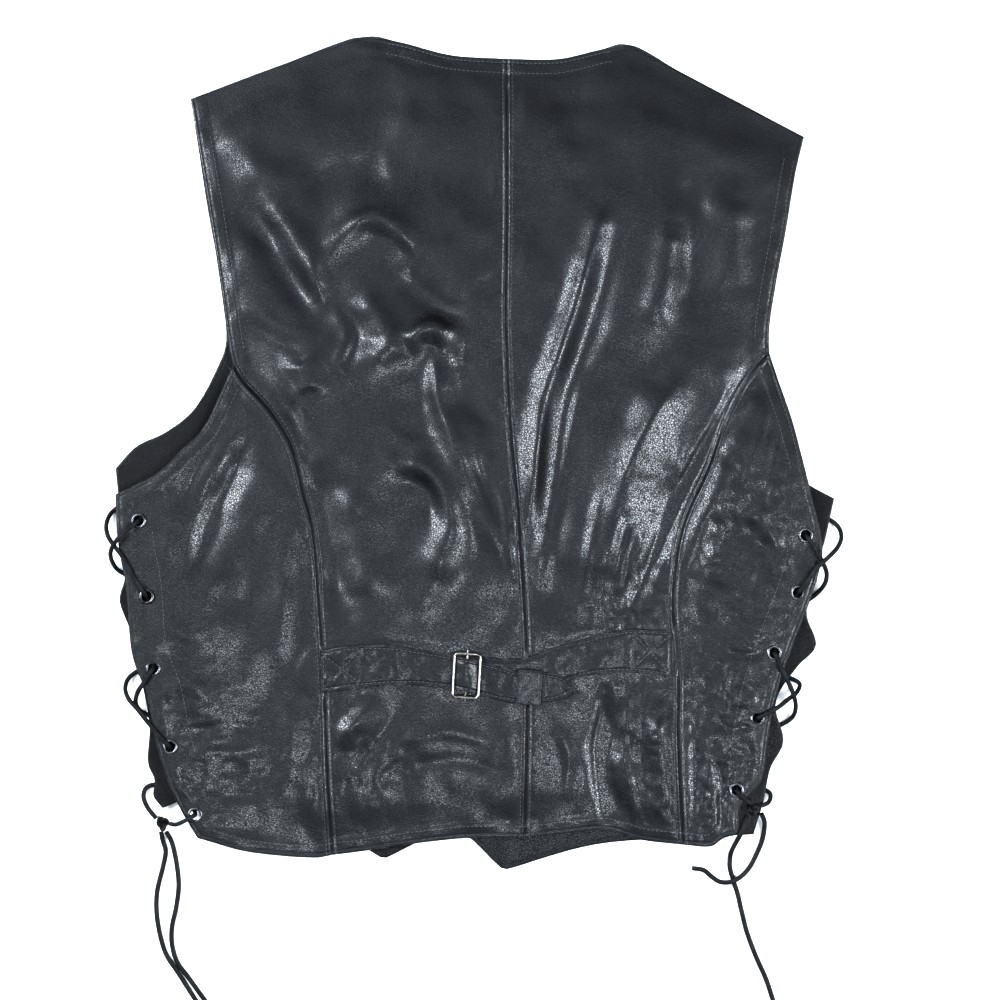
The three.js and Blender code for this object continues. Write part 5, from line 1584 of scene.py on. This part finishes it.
class VEST_OT_belt(bpy.types.Operator):
    """Make the half belt, its keeper and its stitching"""
    bl_idname = "vest.belt"
    bl_label = "Half Belt"

    def execute(self, context):
        straps = {"belt_left": BELT_LEFT, "belt_right": BELT_RIGHT}
        for name, rows in straps.items():
            self.strap(name, np.array(rows, float))
        self.keeper()
        for name, rows in straps.items():
            self.stitches(name, np.array(rows, float), context.scene.vest_sizes)
        return {"FINISHED"}

    def strap(self, name, rows):
        length = np.linalg.norm(np.diff(rows[:, :2], axis=0), axis=1).sum()
        table = at_shares(rows, crowded(length, STRAP_STEP))
        us = crowded(STRAP_WIDTH, STRAP_STEP_ACROSS)
        top, bottom = table[:, 1:2], table[:, 2:3]
        y = top + (bottom - top) * us[None, :]
        x = np.repeat(table[:, 0:1], len(us), axis=1)
        x = x + STRAP_WANDER * value_noise(x, y, WANDER_SIZE, BELT_SEEDS[name])
        near = np.minimum(y - bottom, top - y)
        box = self.box_distance(x, y, self.box_lines(name, rows))
        z = self.face(name, x, y, table[:, 3:4], near, box)
        # Shade painted into the edge rows and the box rows of stitches
        row = bell(near, BELT_STITCH, BELT_ROW_HALF)
        painted_row_shade = np.maximum(ROW_SHADE * row, BOX_SHADE * bell(box, 0, ROW_HALF))
        piece = cloth_piece(
            f"{name}_strap", np.dstack([x, y]), z, STRAP, leather_material("belt_leather"),
            wear_and_highlight_edge(near), painted_row_shade)
        finish_piece(piece, "belt_leather", name)

    def box_lines(self, name, table):
        """The sewn box at the seam end of a strap, with its cross."""
        a, b, c, d = [
            (x, np.interp(x, table[:, 0], table[:, column]) + lift)
            for x in BELT_BOXES[name] for column, lift in ((1, -BOX_INSET), (2, BOX_INSET))]
        return [(a, d), (b, c), (a, b), (c, d)]

    def box_distance(self, x, y, lines):
        return np.min([to_line(x, y, line)[0] for line in lines], axis=0)

    def face(self, name, x, y, rise, near, box):
        """Outer face of a strap: rolled edges, sunk rows, ribs across it, and slack where it stands off."""
        seed = BELT_SEEDS[name]
        z = BELT_FLOOR + rise + STRAP
        z = z - STRAP_ROLL * rounding(near, STRAP_ROLL_REACH)
        z = z - STRAP_GROOVE * bell(near, BELT_STITCH, BELT_ROW_HALF)
        z = z - BOX_GROOVE * bell(box, 0, BOX_GROOVE_HALF)
        for size, stretch, step, height in STRAP_RIBS:
            z = z + height * value_noise(x, y * stretch, size, seed + step)
        start, off, back, end = BELT_FREE[name]
        free = smooth(start, off, x) * (1 - smooth(back, end, x))
        return z + free * BELT_SWAY[name] * (STRAP_LIFT + value_noise(x, y * 0.3, SWAY_SIZE, seed + 2))

    def stitches(self, name, rows, sizes):
        """The rows along both edges of a strap, and its boxed cross."""
        box_lines = self.box_lines(name, rows)

        def edges_at(x):
            return [np.interp(x, rows[:, 0], rows[:, column]) for column in (1, 2, 3)]

        def surface(x, y):
            top, bottom, rise = edges_at(x)
            near = np.maximum(np.minimum(y - bottom, top - y), 0)
            return self.face(name, x, y, rise, near, self.box_distance(x, y, box_lines))

        xs = np.linspace(*BELT_ROWS[name], 60)
        top, bottom, _ = edges_at(xs)
        lines = [np.column_stack([xs, top - BELT_STITCH]), np.column_stack([xs, bottom + BELT_STITCH])]
        lines += [np.linspace(start, end, 20) for start, end in box_lines]
        sew(f"{name}_stitches", lines, surface, sizes)

    def keeper(self):
        """A leather loop, open at both ends, round the right strap."""
        clear_selection()
        half_y, half_z = KEEPER["inner"] / 2, KEEPER_CLEAR / 2
        bpy.ops.mesh.primitive_cube_add(size=1, location=(0, 0, 0))
        loop = bpy.context.object
        loop.name = "belt_keeper_loop"
        bpy.ops.object.mode_set(mode="EDIT")
        bpy.ops.mesh.select_all(action="SELECT")
        bpy.ops.transform.resize(
            value=(KEEPER["width"] * MM, 2 * (half_y + KEEPER["leather"]) * MM,
                   2 * (half_z + KEEPER["leather"]) * MM), center_override=(0, 0, 0))
        bpy.ops.mesh.select_mode(type="FACE")
        bpy.ops.mesh.select_all(action="DESELECT")
        bpy.ops.object.mode_set(mode="OBJECT")
        for face in loop.data.polygons:
            face.select = abs(face.normal.x) > 0.9
        bpy.ops.object.mode_set(mode="EDIT")
        bpy.ops.mesh.delete(type="FACE")
        bpy.ops.mesh.select_mode(type="VERT")
        bpy.ops.mesh.select_all(action="SELECT")
        bpy.ops.mesh.subdivide(number_cuts=KEEPER_CUTS)
        bpy.ops.object.mode_set(mode="OBJECT")
        wall = loop.modifiers.new("wall", "SOLIDIFY")
        wall.thickness = KEEPER["leather"] * MM
        wall.offset = -1
        bpy.ops.object.modifier_apply(modifier="wall")
        edge = loop.modifiers.new("edge", "BEVEL")
        edge.width = KEEPER_BEVEL * MM
        edge.segments = 2
        edge.limit_method = "ANGLE"
        bpy.ops.object.modifier_apply(modifier="edge")
        middle = KEEPER_BOTTOM + KEEPER["leather"] + KEEPER_CLEAR / 2
        set_down(loop, KEEPER, BELT_FLOOR + middle, KEEPER_RIPPLE)
        loop.data.materials.append(leather_material("belt_leather"))
        point_values(loop, "edge", np.full(len(loop.data.vertices), KEEPER_WEAR_AND_HIGHLIGHT))
        finish_piece(loop, "belt_leather", "belt_keeper", angle=40)


class VEST_OT_buckle(bpy.types.Operator):
    """Bend the wire buckle and set its bar"""
    bl_idname = "vest.buckle"
    bl_label = "Buckle"

    def execute(self, context):
        wire = BUCKLE["wire"] / 2
        half_x, half_y = BUCKLE["width"] / 2 - wire, BUCKLE["height"] / 2 - wire
        bend = BUCKLE["corner"] - wire
        clear_selection()
        bpy.ops.mesh.primitive_circle_add(
            vertices=WIRE_SIDES, radius=wire * MM, fill_type="NOTHING", location=(0, 0, 0),
            rotation=(0, math.pi / 2, 0))
        frame_piece = context.object
        frame_piece.name = "buckle_frame"
        bpy.ops.object.transform_apply(location=True, rotation=True, scale=True)
        bpy.ops.object.mode_set(mode="EDIT")
        bpy.ops.mesh.select_all(action="SELECT")
        bpy.ops.transform.translate(value=(0, -half_y * MM, 0))
        reach_x, reach_y = half_x - bend, half_y - bend
        moves = [(reach_x, 0), (0, 2 * reach_y), (-2 * reach_x, 0), (0, -2 * reach_y)]
        centres = [(reach_x, -reach_y), (reach_x, reach_y), (-reach_x, reach_y), (-reach_x, -reach_y)]
        for move, centre in zip(moves, centres):
            bpy.ops.mesh.extrude_region_move(
                TRANSFORM_OT_translate={"value": (move[0] * MM, move[1] * MM, 0)})
            bpy.ops.mesh.spin(
                steps=CORNER_STEPS, angle=-math.pi / 2, center=(centre[0] * MM, centre[1] * MM, 0),
                axis=(0, 0, 1))
        bpy.ops.mesh.extrude_region_move(TRANSFORM_OT_translate={"value": (reach_x * MM, 0, 0)})
        bpy.ops.mesh.select_all(action="SELECT")
        bpy.ops.mesh.remove_doubles(threshold=MERGE)
        bpy.ops.mesh.normals_make_consistent(inside=False)
        bpy.ops.object.mode_set(mode="OBJECT")
        self.bar(frame_piece)
        set_down(frame_piece, BUCKLE, BELT_FLOOR + BUCKLE_RISE + wire)
        frame_piece.data.materials.append(metal_material("buckle_metal"))
        finish_piece(frame_piece, "buckle_metal", "buckle", angle=40)
        return {"FINISHED"}

    def bar(self, frame_piece):
        drop = BUCKLE_BAR["rise"] - BUCKLE_RISE - BUCKLE["wire"] / 2
        clear_selection()
        bpy.ops.mesh.primitive_cylinder_add(
            vertices=WIRE_SIDES, radius=BUCKLE_BAR["radius"] * MM, depth=BUCKLE_BAR["length"] * MM,
            location=(0, 0, drop * MM), rotation=(math.pi / 2, 0, 0))
        pin = bpy.context.object
        bpy.ops.object.transform_apply(location=True, rotation=True, scale=True)
        edge = pin.modifiers.new("edge", "BEVEL")
        edge.width = BAR_BEVEL * MM
        edge.segments = 2
        bpy.ops.object.modifier_apply(modifier="edge")
        frame_piece.select_set(True)
        bpy.context.view_layer.objects.active = frame_piece
        bpy.ops.object.join()


class VEST_PT_panel(bpy.types.Panel):
    """Shows the sizes, the studio light, and a button for each making step"""
    bl_idname = "VEST_PT_panel"
    bl_label = "Laced Leather Vest"
    bl_space_type = "VIEW_3D"
    bl_region_type = "UI"
    bl_category = "Vest"

    def draw(self, context):
        layout = self.layout
        for settings in (context.scene.vest_sizes, context.scene.vest_light):
            for name in settings.__annotations__:
                layout.prop(settings, name)
        for operator in MAKING_ORDER:
            layout.operator(operator.bl_idname)


MAKING_ORDER = (
    VEST_OT_stage, VEST_OT_laces, VEST_OT_back, VEST_OT_fronts, VEST_OT_stitching, VEST_OT_eyelets,
    VEST_OT_belt, VEST_OT_buckle,
)
CLASSES = (VestSizes, VestLight, *MAKING_ORDER, VEST_PT_panel)


def register():
    for one in CLASSES:
        bpy.utils.register_class(one)
    bpy.types.Scene.vest_sizes = bpy.props.PointerProperty(type=VestSizes)
    bpy.types.Scene.vest_light = bpy.props.PointerProperty(type=VestLight)


def unregister():
    del bpy.types.Scene.vest_light
    del bpy.types.Scene.vest_sizes
    for one in reversed(CLASSES):
        bpy.utils.unregister_class(one)


def main():
    register()
    for operator in MAKING_ORDER:
        group, name = operator.bl_idname.split(".")
        getattr(getattr(bpy.ops, group), name)()


if __name__ == "__main__":
    main()
